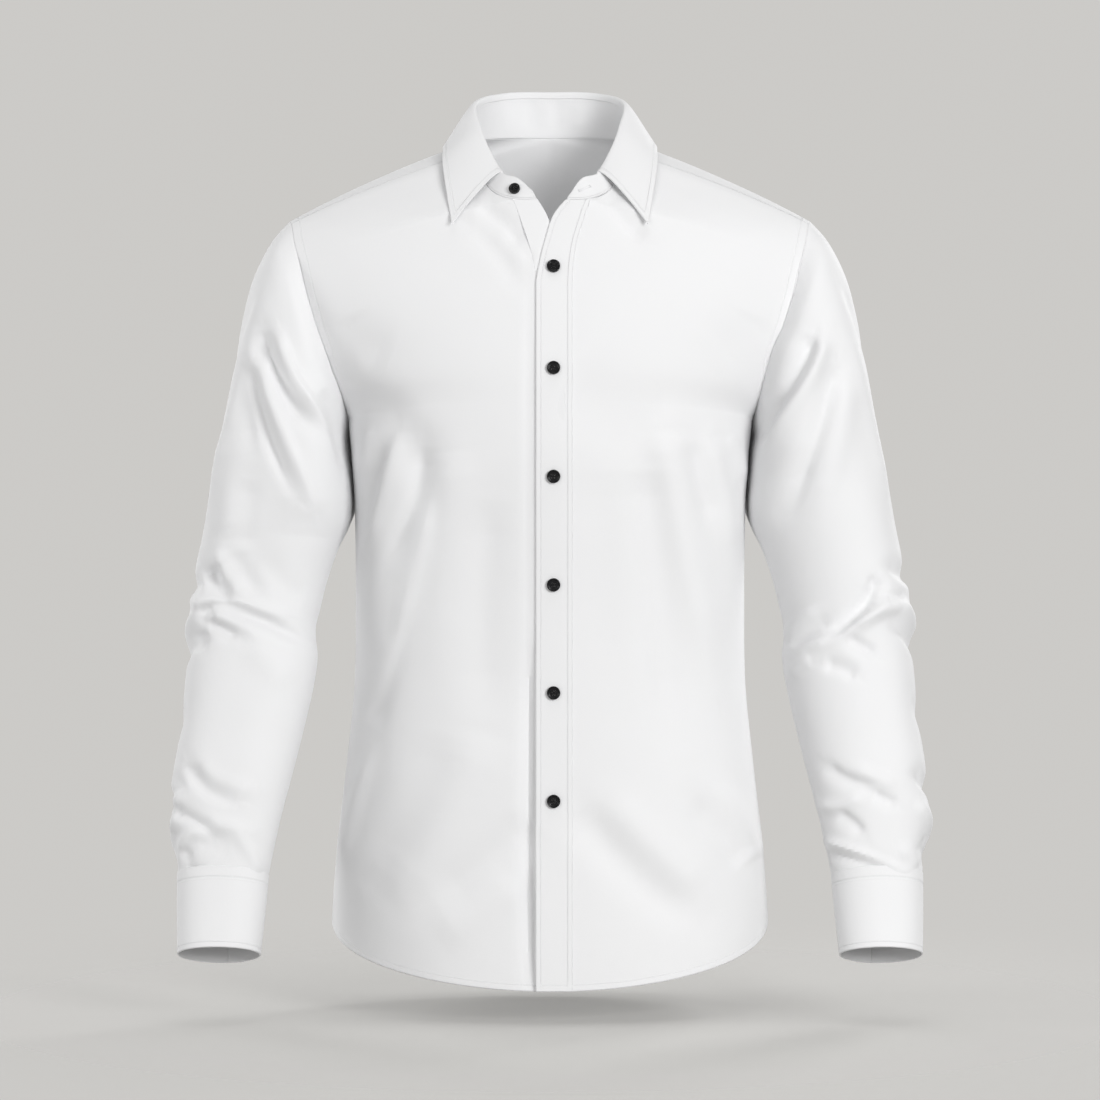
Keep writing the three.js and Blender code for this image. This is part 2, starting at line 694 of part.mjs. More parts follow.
// A point of the left cuff: its column runs from the inner end, over the front, to the outer end
function cuffPoint(column, share) {
  const ring = sample(CUFF, share * (CUFF.length - 1));
  const degrees = CUFF_START - column * CUFF_TURN;
  const lifted = column - (CUFF_COLUMNS - CUFF_OVERLAP - CUFF_RISE);
  const lift = THREE.MathUtils.smoothstep(lifted, 0, CUFF_RISE) * (LINED_WALL + STACK_GAP);
  const wider = { ...ring, outX: ring.outX + lift, inX: ring.inX - lift, depth: ring.depth + lift };
  return ringPoint(wider, degrees);
}

const cuffColumns = Array.from({ length: CUFF_COLUMNS + 1 }, (_, column) => column);

// A sleeve placket lies on the hidden side of its sleeve, in line with the cuff's opening
function sleevePlacketRows(body, name, angles) {
  const normals = body.normals();
  const middle = angles.findIndex((angle) => angle < SLEEVE_PLACKET_ANGLE);
  return body.grids.get(name).slice(-SLEEVE_PLACKET_ROWS).map((row) => (
    row.slice(middle - 1, middle + 2).map((number) => (
      body.points[number].clone().addScaledVector(normals[number], STACK_GAP + LINED_WALL)
    ))
  ));
}

// Buttons

// A closed solid from a geometry, with its shared points merged
function solidOf(geometry) {
  const bare = geometry.clone();
  bare.deleteAttribute("normal");
  bare.deleteAttribute("uv");
  const merged = mergeVertices(bare, 1e-4);
  const corners = merged.index.array;
  const kept = [];
  for (let i = 0; i < corners.length; i += 3) {
    const [a, b, c] = corners.slice(i, i + 3);
    if (a !== b && b !== c && c !== a) kept.push(a, b, c);
  }
  const vertProperties = merged.attributes.position.array;
  return new wasm.Manifold(new wasm.Mesh({ numProp: 3, vertProperties, triVerts: new Uint32Array(kept) }));
}

// A round button with a raised rim and four holes, its axis along Y and its back at zero
function buttonGeometry(diameter) {
  const radius = diameter / 2;
  const floor = BUTTON_HEIGHT - RIM_DEPTH;
  const profile = [
    [0, 0], [radius - BUTTON_EDGE, 0], [radius, BUTTON_EDGE], [radius, BUTTON_HEIGHT - BUTTON_EDGE],
    [radius - BUTTON_EDGE, BUTTON_HEIGHT], [radius - RIM_WIDTH, BUTTON_HEIGHT],
    [radius - RIM_WIDTH - BUTTON_EDGE, floor], [0, floor],
  ].map(([x, y]) => new THREE.Vector2(x, y));
  let solid = solidOf(new THREE.LatheGeometry(profile, BUTTON_SIDES));
  const reach = diameter * HOLE_SPREAD;
  for (const [x, z] of [[reach, reach], [-reach, reach], [-reach, -reach], [reach, -reach]]) {
    const hole = new THREE.CylinderGeometry(HOLE_RADIUS, HOLE_RADIUS, 4 * BUTTON_HEIGHT, HOLE_SIDES);
    solid = solid.subtract(solidOf(hole.translate(x, 0, z)));
  }
  const { vertProperties, triVerts } = solid.getMesh();
  const geometry = new THREE.BufferGeometry();
  geometry.setAttribute("position", new THREE.BufferAttribute(vertProperties, 3));
  return geometry.setIndex(new THREE.BufferAttribute(triVerts, 1));
}

// A button with its back just clear of a surface, facing the way that the surface does
function addButton(name, diameter, surfacePoint, outward) {
  const mesh = addPiece(name, buttonGeometry(diameter), blackResin);
  mesh.quaternion.setFromUnitVectors(new THREE.Vector3(0, 1, 0), outward);
  mesh.position.copy(surfacePoint).addScaledVector(outward, SEAM_GAP);
}

// A point on a surface of two coordinates with its outward direction
function pointAndNormal(surface, u, v, turned) {
  const along = new THREE.Vector3().subVectors(surface(u + NEAR, v), surface(u - NEAR, v));
  const up = new THREE.Vector3().subVectors(surface(u, v + NEAR), surface(u, v - NEAR));
  return [surface(u, v), along.cross(up).multiplyScalar(turned ? -1 : 1).normalize()];
}

// The step of the centre front at a height
function stepAtHeight(height) {
  let [low, high] = [0, FRONT_NECK_STEP];
  while (high - low > NEAR / 100) {
    const middle = (low + high) / 2;
    if (sample(CENTRE_FRONT, middle).z < height) low = middle;
    else high = middle;
  }
  return low;
}

function addButtons() {
  for (let i = 0; i < BUTTON_COUNT; i += 1) {
    const height = TOP_BUTTON_Z - (i > 0 ? TOP_SPACING + (i - 1) * BUTTON_SPACING : 0);
    const surface = (x, step) => frontPoint(step, x);
    const [point, outward] = pointAndNormal(surface, BUTTON_X, stepAtHeight(height), false);
    point.addScaledVector(outward, STACK_GAP + LINED_WALL);
    addButton(`front_button_${i + 1}`, FRONT_BUTTON, point, outward);
  }
  const [onStand, fromStand] = pointAndNormal(standPoint, COLLAR_BUTTON_STEP, COLLAR_BUTTON_SHARE, true);
  addButton("collar_button", COLLAR_BUTTON, onStand, fromStand);
  const [onCuff, fromCuff] = pointAndNormal(cuffPoint, CUFF_COLUMNS - 1, 0.5, true);
  addButton("cuff_button_left", CUFF_BUTTON, onCuff, fromCuff);
  addButton("cuff_button_right", CUFF_BUTTON, mirrored(onCuff), mirrored(fromCuff));
}

// The whole shirt

const loop = armholeLoop();
const angles = armholeAngles(loop);
const body = makeBody(loop, angles);
for (const name of body.panels.keys()) addPiece(name, body.wall(name, CLOTH_WALL), whiteCotton);
addStrip("placket", placketRows(), LINED_WALL, false);
addCollar();
const cuff = rowsOf(CUFF_ROWS, cuffColumns, cuffPoint);
addStrip("cuff_left", cuff, LINED_WALL, true);
addStrip("cuff_right", mirroredRows(cuff), LINED_WALL, false);
addStrip("sleeve_placket_left", sleevePlacketRows(body, "sleeve_left", angles), LINED_WALL, true);
addStrip("sleeve_placket_right", sleevePlacketRows(body, "sleeve_right", angles), LINED_WALL, false);
addButtons();

export default shirt;
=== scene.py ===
import logging
import math
from dataclasses import dataclass, field
from enum import Enum
from typing import Any

import bmesh
import bpy
import numpy as np
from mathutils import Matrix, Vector


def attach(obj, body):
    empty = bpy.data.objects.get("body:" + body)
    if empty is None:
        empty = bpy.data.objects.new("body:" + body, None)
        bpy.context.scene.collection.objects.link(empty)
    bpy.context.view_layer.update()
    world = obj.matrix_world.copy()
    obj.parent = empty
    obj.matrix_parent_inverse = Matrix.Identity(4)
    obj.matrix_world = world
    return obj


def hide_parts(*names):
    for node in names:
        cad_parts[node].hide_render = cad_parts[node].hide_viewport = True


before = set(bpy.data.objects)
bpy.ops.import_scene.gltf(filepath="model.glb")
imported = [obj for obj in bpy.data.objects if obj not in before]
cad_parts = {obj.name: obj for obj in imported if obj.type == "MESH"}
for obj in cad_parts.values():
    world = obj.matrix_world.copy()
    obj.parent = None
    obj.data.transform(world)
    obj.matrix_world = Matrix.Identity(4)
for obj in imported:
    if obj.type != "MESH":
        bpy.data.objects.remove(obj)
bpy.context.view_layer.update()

log = logging.getLogger("shirt")
Array = np.ndarray
MM = 0.001

# Cloth, in millimetres
CLOTH = 0.8
LINED = 1.3
STACK = 0.5
HEM = 5.5
SEAM_STITCH = 1.2
STITCH = {"pitch": 2.5, "length": 1.95, "radius": 0.2}
BUTTONHOLE_STITCH = {"pitch": 0.5, "length": 0.48, "radius": 0.22}
BUTTON = 11.4
COLLAR_BUTTON = 9.8

# A welt's height is read from the distance to its seam, in widths of the welt
FAR_FROM_SEAMS = 9.0

# Rows for each step of the tables
LOW_ROWS = 20
ARMHOLE_ROWS = 12
NECK_ROWS = 8
SLEEVE_ROWS = 13
COLUMNS = 72

# Steps of the centre front, and the arcs of rows that start at the neck
ARMPIT = 8
FRONT_NECK = 13
SEAM_FALL = 1.1
YOKE_ARC = 40
FRONT_ARC = 48
UP = np.array([0.0, 0.0, 1.0])

# The height that the camera and the lights look at, in metres
MIDDLE = -0.343


class Table:
    """A smooth curve through rows of values under named columns."""

    def __init__(self, columns: str, rows: list[tuple[float, ...]]) -> None:
        """Keeps the rows, under column names with spaces between them."""
        self.columns = columns.split()
        self.rows = np.array(rows, float)

    @property
    def last(self) -> int:
        """The last whole step."""
        return len(self.rows) - 1

    def at(self, steps: Any) -> Array:
        """All columns, last, at one step or an array of them, which may lie between rows."""
        return smooth_rows(self.rows, steps)

    def column(self, name: str, steps: Any) -> Array:
        """One named column at the given steps."""
        return self.at(steps)[..., self.columns.index(name)]

    def other_side(self, flip: float = -1.0) -> "Table":
        """The same folds on the other side of the body, set a little lower and flatter.

        Args:
            flip: -1 for folds seen from the front or back, 1 for folds seen from the side.

        Returns:
            The folds.
        """
        shifts = {"z": -9.0}
        scales = {"x": flip, "h": 0.85, "l": flip}
        rows = [[value * scales.get(name[0], 1.0) + shifts.get(name[0], 0.0)
                 for name, value in zip(self.columns, row)] for row in self.rows]
        return Table(" ".join(self.columns), rows)


def smooth_rows(rows: Array, steps: Any) -> Array:
    """The smooth curve through rows of values.

    Args:
        rows: Values with the steps first.
        steps: One step or an array of them.

    Returns:
        The values at the steps.
    """
    steps = np.asarray(steps, float)
    last = len(rows) - 1
    first = np.clip(np.floor(steps), 0, last - 1).astype(int)
    t = (steps - first).reshape(steps.shape + (1,) * (rows.ndim - 1))
    a, b, c, d = (rows[np.clip(first + i, 0, last)] for i in (-1, 0, 1, 2))
    low, high = (c - a) / 2, (d - b) / 2
    t2, t3 = t * t, t * t * t
    return (2 * t3 - 3 * t2 + 1) * b + (t3 - 2 * t2 + t) * low + (3 * t2 - 2 * t3) * c + (t3 - t2) * high


SIDE_SEAM = Table("x y z", [
    (192, 4, -667), (190, 4, -635), (186, 4, -592), (179, 4, -530), (172, 4, -460), (171, 4, -390),
    (171.5, 4, -320), (174, 4, -270), (178, 5, -230),
])
ARMHOLE_FRONT = Table("x y z", [
    (178, 5, -230), (184, -24, -208), (193, -38, -178), (203, -44, -148), (212, -42, -118),
    (218, -36, -94), (223, -27, -76), (225.5, -18, -64), (227, -10, -57),
])
ARMHOLE_BACK = Table("x y z", [
    (178, 5, -230), (183, 34, -210), (189, 49, -182), (197, 55, -150), (206, 53, -118), (214, 45, -90),
])
ARMHOLE_YOKE = Table("x y z", [
    (214, 45, -90), (220, 36, -75), (225, 25, -64), (228.5, 13, -57), (229, 1, -54), (227, -10, -57),
])
NECK_SEAM = Table("x y z", [
    (0, 62, 26), (42, 52, 25), (68, 15, 18), (68, -19, 4), (62, -40, -15), (50, -60, -33),
    (32, -73, -41), (14, -74.5, -41.5),
])
CENTRE_FRONT = Table("z depth arc fall", [
    (-718, 113, 90, 1.7), (-660, 112, 90, 1.7), (-600, 110, 90, 1.7), (-530, 107.5, 90, 1.5),
    (-460, 106, 90, 1.5), (-390, 107, 90, 1.5), (-320, 112, 90, 1.5), (-262, 115.5, 90, 1.5),
    (-215, 115, 88, 1.5), (-185, 112.5, 80, 1.4), (-150, 106, 72, 1.3), (-115, 97.5, 64, 1.2),
    (-78, 86, 56, 1.1), (-41, 74, 48, 1.1),
])
CENTRE_BACK = Table("z depth arc fall", [
    (-730, 110, 90, 1.7), (-668, 107, 90, 1.7), (-602, 103, 90, 1.7), (-530, 98, 90, 1.5),
    (-460, 94, 90, 1.5), (-390, 95, 90, 1.5), (-320, 103, 90, 1.5), (-262, 110, 90, 1.5),
    (-218, 112, 88, 1.5), (-188, 112.5, 78, 1.4), (-158, 111.5, 70, 1.3), (-126, 109, 62, 1.2),
    (-98, 105, 54, 1.4), (-72, 100, 47, 1.8),
])
YOKE_BACK = Table("y z arc fall", [(100, -72, 47, 1.8), (85, -20, 44, 1.4), (62, 26, 40, 1.1)])
OPENING = Table("band_seam band_edge panel_edge placket_left placket_right", [
    (-11, 13, 14.5, -12, 19), (-14.2, 9.9, 15.4, -9, 20.2), (-19, 4.7, 18, -4.5, 23),
    (-26, -1.8, 25.2, 2, 29.2), (-32, -10.8, 32, 14, 35),
])
SLEEVE = Table("out_x out_z in_x in_z mid_y depth tilt", [
    (244, -71, 180.5, -241, 3, 61, 0), (259, -100, 178.5, -256, 2, 65, 0), (269, -132, 176.6, -272, 1, 67, 0),
    (278, -175, 175.4, -288, -1, 67, 0), (285, -220, 174.6, -304, -3, 65, 2),
    (292, -260, 177, -322, -5, 62, 3), (299, -300, 186.5, -343, -8, 59, 5),
    (306, -338, 195, -368, -11, 56, 7), (313, -370, 201, -393, -15, 54, 9),
    (314.5, -394, 205, -412, -19, 52, 11), (315, -420, 203, -436, -24, 52, 13),
    (317, -448, 206, -461, -31, 51, 14), (319, -480, 212, -490, -40, 49, 15),
    (322, -508, 218, -516, -48, 47, 16), (325, -536, 224, -541, -57, 45, 17),
    (326, -562, 230, -565, -65, 42, 18), (324, -588, 235, -588, -72, 38, 18),
    (319.5, -620, 241.5, -621, -80, 34, 18),
])
CUFF = Table("out_x out_z in_x in_z mid_y depth tilt", [
    (320, -620.6, 241, -621.6, -80.2, 34.4, 18), (319, -655, 243.5, -655, -91, 34, 18),
    (317.5, -688, 246.5, -688, -102, 33.4, 18),
])
STAND_TOP = Table("x y z", [
    (0, 59, 65), (40, 50, 63), (65.5, 15, 51), (62, -17, 26), (54, -37, 4), (42, -54, -16),
    (28, -66, -22), (15, -72.5, -34),
])
LEAF_EDGE = Table("x y z roll", [
    (0, 84, 19, 9), (55, 71, 18, 9), (90, 24, 16, 9), (94.5, -14, 5, 9), (92, -44, -20, 8),
    (84.5, -79, -63, 7),
])
LEAF_STEPS = 5


class Side(Enum):
    """An edge of a grid of points."""

    FIRST_ROW = "first row"
    LAST_ROW = "last row"
    FIRST_COLUMN = "first column"
    LAST_COLUMN = "last column"


class Facing(Enum):
    """Which way cloth faces where a set of folds shows, as an axis, its sign and how far round it reaches."""

    FRONT = (1, -1, 0.4)
    BACK = (1, 1, 0.4)
    LEFT = (0, 1, -0.3)
    RIGHT = (0, -1, -0.3)

    def heights(self, folds: Table, points: Array, normals: Array) -> Array:
        """How far folds move points, less where the cloth faces another way."""
        axis, sign, reach = self.value
        return fold_heights(folds, points[:, [1 - axis, 2]]) * eased(reach + 1.3 * sign * normals[:, axis])


def spread(start: float, end: float, parts: int) -> Array:
    """Steps from one to another, each whole step divided into the same number of parts."""
    return np.linspace(start, end, round(abs(end - start) * parts) + 1)


def front_steps() -> Array:
    """The steps of the centre front from the hem to the neck."""
    return np.concatenate([spread(0, ARMPIT, LOW_ROWS), spread(ARMPIT, FRONT_NECK, ARMHOLE_ROWS)[1:]])


def unit(vectors: Array) -> Array:
    """The vectors, each made one long."""
    return vectors / np.maximum(np.linalg.norm(vectors, axis=-1, keepdims=True), 1e-9)


def eased(values: Array) -> Array:
    """Values below 0 become 0 and above 1 become 1, with a smooth rise between."""
    t = np.clip(values, 0, 1)
    return t * t * (3 - 2 * t)


def mirrored(points: Array) -> Array:
    """The points on the other side of the body."""
    return points * (-1, 1, 1)


def over_both(half: Array) -> Array:
    """Half rows from the centre outwards, as whole rows over both sides of the body."""
    return np.concatenate([mirrored(half[:, :0:-1]), half], axis=1)


def centred(y: Array, z: Array) -> Array:
    """Points on the body's middle plane."""
    return np.stack([np.zeros_like(y), y, z], axis=-1)


def lengths_along(line: Array) -> Array:
    """How far each point of a line is from its start."""
    return np.concatenate([[0], np.cumsum(np.linalg.norm(np.diff(line, axis=0), axis=1))])


def read_at(places: Any, lengths: Array, values: Array) -> Array:
    """Three columns of values along a line, at places between them."""
    return np.stack([np.interp(places, lengths, values[:, i]) for i in range(3)], axis=-1)


@dataclass(frozen=True)
class Arc:
    """Rows across half of the body, each flat at its inner end and turned away at its outer end.

    Args:
        inner: Each row's inner point.
        outer: Each row's outer point.
        arc: The degrees that each row turns through.
        fall: How late in each row its height changes.
    """

    inner: Array
    outer: Array
    arc: Array
    fall: Array

    def points(self, x: Array) -> Array:
        """The points at places beside the centre, with one row of places for each row."""
        arc = np.radians(self.arc)[:, None]
        reach = np.sin(arc) / self.outer[:, :1]
        start = np.arcsin(np.clip(np.abs(self.inner[:, :1]) * reach, 0, 1))
        angle = np.arcsin(np.clip(np.abs(x) * reach, 0, 1))
        share = np.maximum(0, (angle - start) / (arc - start))
        bend = (np.cos(start) - np.cos(angle)) / (np.cos(start) - np.cos(arc))
        y = self.inner[:, 1:2] + (self.outer - self.inner)[:, 1:2] * bend
        z = self.inner[:, 2:] + (self.outer - self.inner)[:, 2:] * share ** self.fall[:, None]
        return np.stack(np.broadcast_arrays(x, y, z), axis=-1)

    def rows(self) -> Array:
        """Whole rows from the inner to the outer points, evenly spaced in the arc's angle."""
        arc = np.radians(self.arc)[:, None]
        reach = np.sin(arc) / self.outer[:, :1]
        start = np.arcsin(np.clip(self.inner[:, :1] * reach, -1, 1))
        angle = start + (arc - start) * np.linspace(0, 1, COLUMNS + 1)
        return self.points(np.sin(angle) / reach)


def opening(name: str, steps: Array) -> Array:
    """An edge of the opening at steps of the centre front: two rows a step over the last two steps."""
    return OPENING.column(name, 2 * np.maximum(0, steps - FRONT_NECK + 2))


def outer_edge(steps: Array, armhole_edge: Table) -> Array:
    """A panel's outer edge, up the side seam and then the armhole."""
    return np.where((steps <= ARMPIT)[:, None], SIDE_SEAM.at(np.minimum(steps, ARMPIT)),
                    armhole_edge.at(np.maximum(steps - ARMPIT, 0)))


def front_frame(steps: Array, inner_x: Array) -> Arc:
    """Where the front's rows start and end.

    Args:
        steps: Steps of the centre front, and on round the neck to the yoke's front seam.
        inner_x: Where the inner edge lies below the neck.

    Returns:
        The rows' ends and shape.
    """
    low = np.minimum(steps, FRONT_NECK)
    z, depth, arc, fall = CENTRE_FRONT.at(low).T
    seam = outer_edge(steps, ARMHOLE_FRONT)
    inner = Arc(centred(-depth, z), seam, arc, fall).points(inner_x[:, None])[:, 0]
    inner[:, 2] = z
    above = np.maximum(steps - FRONT_NECK, 0)
    on_neck = steps > FRONT_NECK
    inner = np.where(on_neck[:, None], NECK_SEAM.at(6 - above), inner)
    arc = np.where(on_neck, FRONT_ARC + (YOKE_ARC - FRONT_ARC) * above / 3, arc)
    return Arc(inner, seam, arc, np.where(on_neck, SEAM_FALL, fall))


def front_points(steps: Array, x: Array) -> Array:
    """Points of the front below the neck, with one row of places beside the centre for each step."""
    panel = front_frame(steps, opening("panel_edge", steps))
    centre = centred(-CENTRE_FRONT.column("depth", steps), panel.inner[:, 2])
    points = panel.points(x)
    points[..., 1] = Arc(centre, panel.outer, panel.arc, panel.fall).points(x)[..., 1]
    return points


def round_neck(curve: Table, steps: Array) -> Array:
    """A curve's points at steps round the neck, below zero on the wearer's right."""
    half = curve.rows[:, :3]
    return smooth_rows(np.concatenate([mirrored(half[:0:-1]), half]), steps + curve.last)


def back_rows(steps: Array) -> Array:
    """Rows over the whole back at steps of the centre back."""
    z, depth, arc, fall = CENTRE_BACK.at(steps).T
    return over_both(Arc(centred(depth, z), outer_edge(steps, ARMHOLE_BACK), arc, fall).rows())


def yoke_rows(steps: Array) -> Array:
    """Rows of half the yoke, from its back seam up to the neck and round to its front seam."""
    y, z, arc, fall = YOKE_BACK.at(np.minimum(steps, 2)).T
    above = np.maximum(steps - 2, 0)
    on_neck = steps > 2
    inner = np.where(on_neck[:, None], round_neck(NECK_SEAM, above), centred(y, z))
    arc, fall = np.where(on_neck, YOKE_ARC, arc), np.where(on_neck, SEAM_FALL, fall)
    return Arc(inner, ARMHOLE_YOKE.at(steps), arc, fall).rows()


def ring_points(ring: Array, degrees: Array) -> Array:
    """Points of a sleeve's or cuff's rings: 0 degrees is outside, 90 the front and 180 inside.

    Args:
        ring: The values of SLEEVE or CUFF, with the columns last.
        degrees: The places on the rings.

    Returns:
        The points.
    """
    out_x, out_z, in_x, in_z, mid_y, depth, tilt = np.moveaxis(ring, -1, 0)
    angle, lean = np.radians(degrees), np.radians(tilt)
    halfway, forward = np.cos(angle) / 2, np.sin(angle) * depth
    return np.stack(np.broadcast_arrays(
        (out_x + in_x) / 2 + (out_x - in_x) * halfway,
        mid_y - forward * np.cos(lean),
        (out_z + in_z) / 2 + (out_z - in_z) * halfway + forward * np.sin(lean),
    ), axis=-1)


def armhole() -> tuple[Array, Array]:
    """The armhole from the armpit up the front, over the yoke and down the back, and its angles."""
    front = ARMHOLE_FRONT.at(np.concatenate([spread(0, 5, ARMHOLE_ROWS), spread(5, 8, NECK_ROWS)[1:]]))
    yoke = ARMHOLE_YOKE.at(spread(5, 0, NECK_ROWS))[1:]
    back = ARMHOLE_BACK.at(spread(5, 0, ARMHOLE_ROWS)[1:])
    loop = np.concatenate([front, yoke, back])
    reached = lengths_along(loop)
    rise = reached[np.argmax(loop[:, 2])]
    angles = 180 * (rise - reached) / np.where(reached < rise, rise, reached[-1] - rise)
    return loop, angles


FOLD_COLUMNS = "x1 z1 x2 z2 x3 z3 width height lean"
FRONT_FOLDS = Table(FOLD_COLUMNS, [
    (-178, -192, -140, -232, -93, -275, 16, -3.1, 0), (-158, -236, -161, -256, -168, -275, 5, 2.6, 0),
    (-132, -241, -141, -287, -159, -341, 5.5, 5, 0.25), (-146, -250, -154, -284, -164, -318, 5, -2.5, 0),
    (-112, -255, -119, -300, -141, -358, 8, -6.5, 0.3),
    (-105, -300, -116, -368, -151, -464, 6, 4.6, -0.25), (-83, -258, -85, -334, -96, -462, 14, 4, 0),
    (-49, -300, -55, -386, -56, -488, 13, -5, 0), (-130, -386, -141, -454, -156, -496, 8, -3, 0),
    (-154, -515, -171, -566, -183, -615, 5, 3, 0), (9, -198, 48, -224, 85, -250, 24, -3.5, 0),
    (96, -241, 108, -314, 142, -462, 11, 5.5, 0.2), (85, -275, 92, -360, 109, -522, 12, -5.5, 0),
    (123, -250, 130, -284, 140, -318, 7, -3, 0), (136, -246, 147, -292, 160, -340, 7, 4, 0.2),
    (155, -243, 164, -260, 170, -284, 5, 2.5, 0), (26, -562, 63, -610, 123, -661, 12, -5.5, 0),
    (50, -556, 91, -598, 131, -635, 11, 3.4, 0), (123, -556, 150, -590, 169, -615, 9, -4, 0),
    (145, -544, 169, -586, 181, -613, 8, 3, 0), (43, -275, 46, -352, 48, -470, 16, -2, 0),
    (179, -141, 165, -159, 142, -175, 16, -1.7, 0), (-52, -500, -86, -570, -140, -645, 18, 4.4, 0),
    (-96, -500, -112, -560, -140, -620, 16, -2.8, 0), (-18, -572, -50, -606, -98, -644, 13, -4.2, 0.2),
    (-30, -622, -60, -648, -96, -676, 12, 2.6, 0), (-62, -45, -42, -62, -25, -86, 6.5, -4.8, 0.2),
    (-46, -66, -34, -80, -24, -98, 4.5, 2.6, -0.2), (-66, -66, -46, -88, -22, -122, 7, -2.6, 0),
    (44, -38, 60, -56, 82, -78, 6.5, -4, 0.2), (-180, -142, -165, -162, -138, -178, 13, -4.2, 0),
    (-152, -196, -122, -258, -100, -330, 12, -3.2, 0.2),
])
PLACKET_HOLLOW = Table(FOLD_COLUMNS, [
    (-17, -92, -18, -380, -17, -712, 3.4, -2.2, 0), (-19, -430, -20, -560, -18, -690, 5, -3.2, 0),
    (-18, -610, -18, -665, -18, -722, 4.5, -3, 0),
])
STAND_FOLDS = Table(FOLD_COLUMNS, [
    (-20, 60, -17, 48, -19, 34, 3.5, 0.8, 0), (-6, 58, -4, 46, -7, 36, 3, -0.7, 0),
    (9, 60, 6, 48, 8, 32, 3.5, 0.7, 0), (27, 58, 24, 46, 26, 34, 4, -0.6, 0),
])
BACK_FOLDS = Table(FOLD_COLUMNS, [
    (-72, -290, -64, -430, -80, -610, 15, -10, 0.2), (58, -320, 68, -450, 60, -630, 14, -10, -0.2),
    (128, -262, 134, -330, 118, -420, 11, 8.3, 0.2), (-134, -270, -128, -350, -132, -440, 11, 8.3, -0.2),
    (4, -330, -6, -420, 2, -540, 18, 7.1, 0), (-30, -480, -38, -560, -52, -650, 11, -7.1, 0),
    (26, -520, 30, -590, 22, -670, 10, 6, 0), (104, -480, 112, -540, 128, -610, 11, -8.1, 0),
    (-112, -500, -120, -560, -136, -620, 11, 7.1, 0), (-170, -130, -150, -160, -120, -186, 13, -6, 0),
    (172, -128, 150, -160, 124, -190, 13, -6, 0), (-40, -110, -46, -170, -58, -250, 14, -4.1, 0),
    (44, -110, 50, -180, 56, -260, 13, 3.6, 0), (-150, -236, -132, -262, -104, -280, 7, -4.9, 0.2),
    (148, -240, 128, -268, 98, -292, 7, -4.9, -0.2), (-60, -392, -20, -402, 30, -398, 12, -3.5, 0),
    (10, -86, 8, -150, 14, -220, 13, -3.5, 0), (90, -250, 40, -330, 20, -430, 9, 3.5, 0.2),
    (-96, -330, -88, -400, -100, -470, 10, 4, 0),
])
RIGHT_SLEEVE_FOLDS = Table(FOLD_COLUMNS, [
    (-233, -156, -222, -193, -198, -237, 4.5, 7.6, -0.25),
    (-250, -152, -237, -195, -201, -240, 6.5, -10.1, 0.1),
    (-250, -171, -238, -217, -207, -304, 5.5, 6.7, -0.35),
    (-257, -182, -248, -230, -219, -297, 5, -7.6, 0.2), (-264, -169, -264, -212, -257, -256, 6, -4.2, 0),
    (-278, -239, -276, -291, -273, -334, 12, 3.4, 0), (-259, -282, -262, -313, -264, -343, 7, -3.4, 0),
    (-201, -204, -189, -230, -180, -273, 5, -5, 0), (-301, -357, -292, -373, -273, -384, 7, -7.5, 0.45),
    (-286, -341, -281, -364, -261, -386, 5, 4, 0), (-273, -345, -263, -362, -247, -381, 5, -2.9, 0),
    (-248, -348, -229, -373, -212, -383, 8, -2.3, 0),
    (-311, -389, -281, -391, -229, -400, 4.5, 4.6, 0.2),
    (-299, -401, -273, -392, -205, -425, 3.8, -6.3, -0.25),
    (-290, -400, -276, -403, -250, -418, 4, 3.7, 0),
    (-296, -404, -284, -410, -269, -418, 3.8, -4.1, -0.2),
    (-307, -414, -304, -421, -299, -430, 4, -2.9, 0), (-264, -423, -243, -437, -224, -460, 9, 2.3, 0),
    (-311, -526, -296, -545, -268, -557, 5.5, -5, 0.3), (-301, -522, -281, -541, -250, -548, 6, 2.2, 0),
    (-328, -536, -311, -564, -255, -583, 5, 4.2, 0.1),
    (-321, -567, -306, -571, -286, -586, 4.8, -6.5, 0.35),
    (-325, -581, -324, -594, -322, -606, 4.5, -3, 0), (-322, -613, -308, -587, -285, -583, 3.8, 3.4, 0),
    (-313, -597, -311, -602, -306, -607, 3.8, -2.8, 0), (-300, -592, -285, -594, -273, -601, 6, -1.8, 0),
    (-269, -583, -255, -601, -248, -620, 3.8, 2.2, 0),
    (-311, -614, -302, -616, -292, -618, 3.8, -2.6, 0), (-210, -190, -209, -250, -214, -330, 19, 7.5, 0),
])
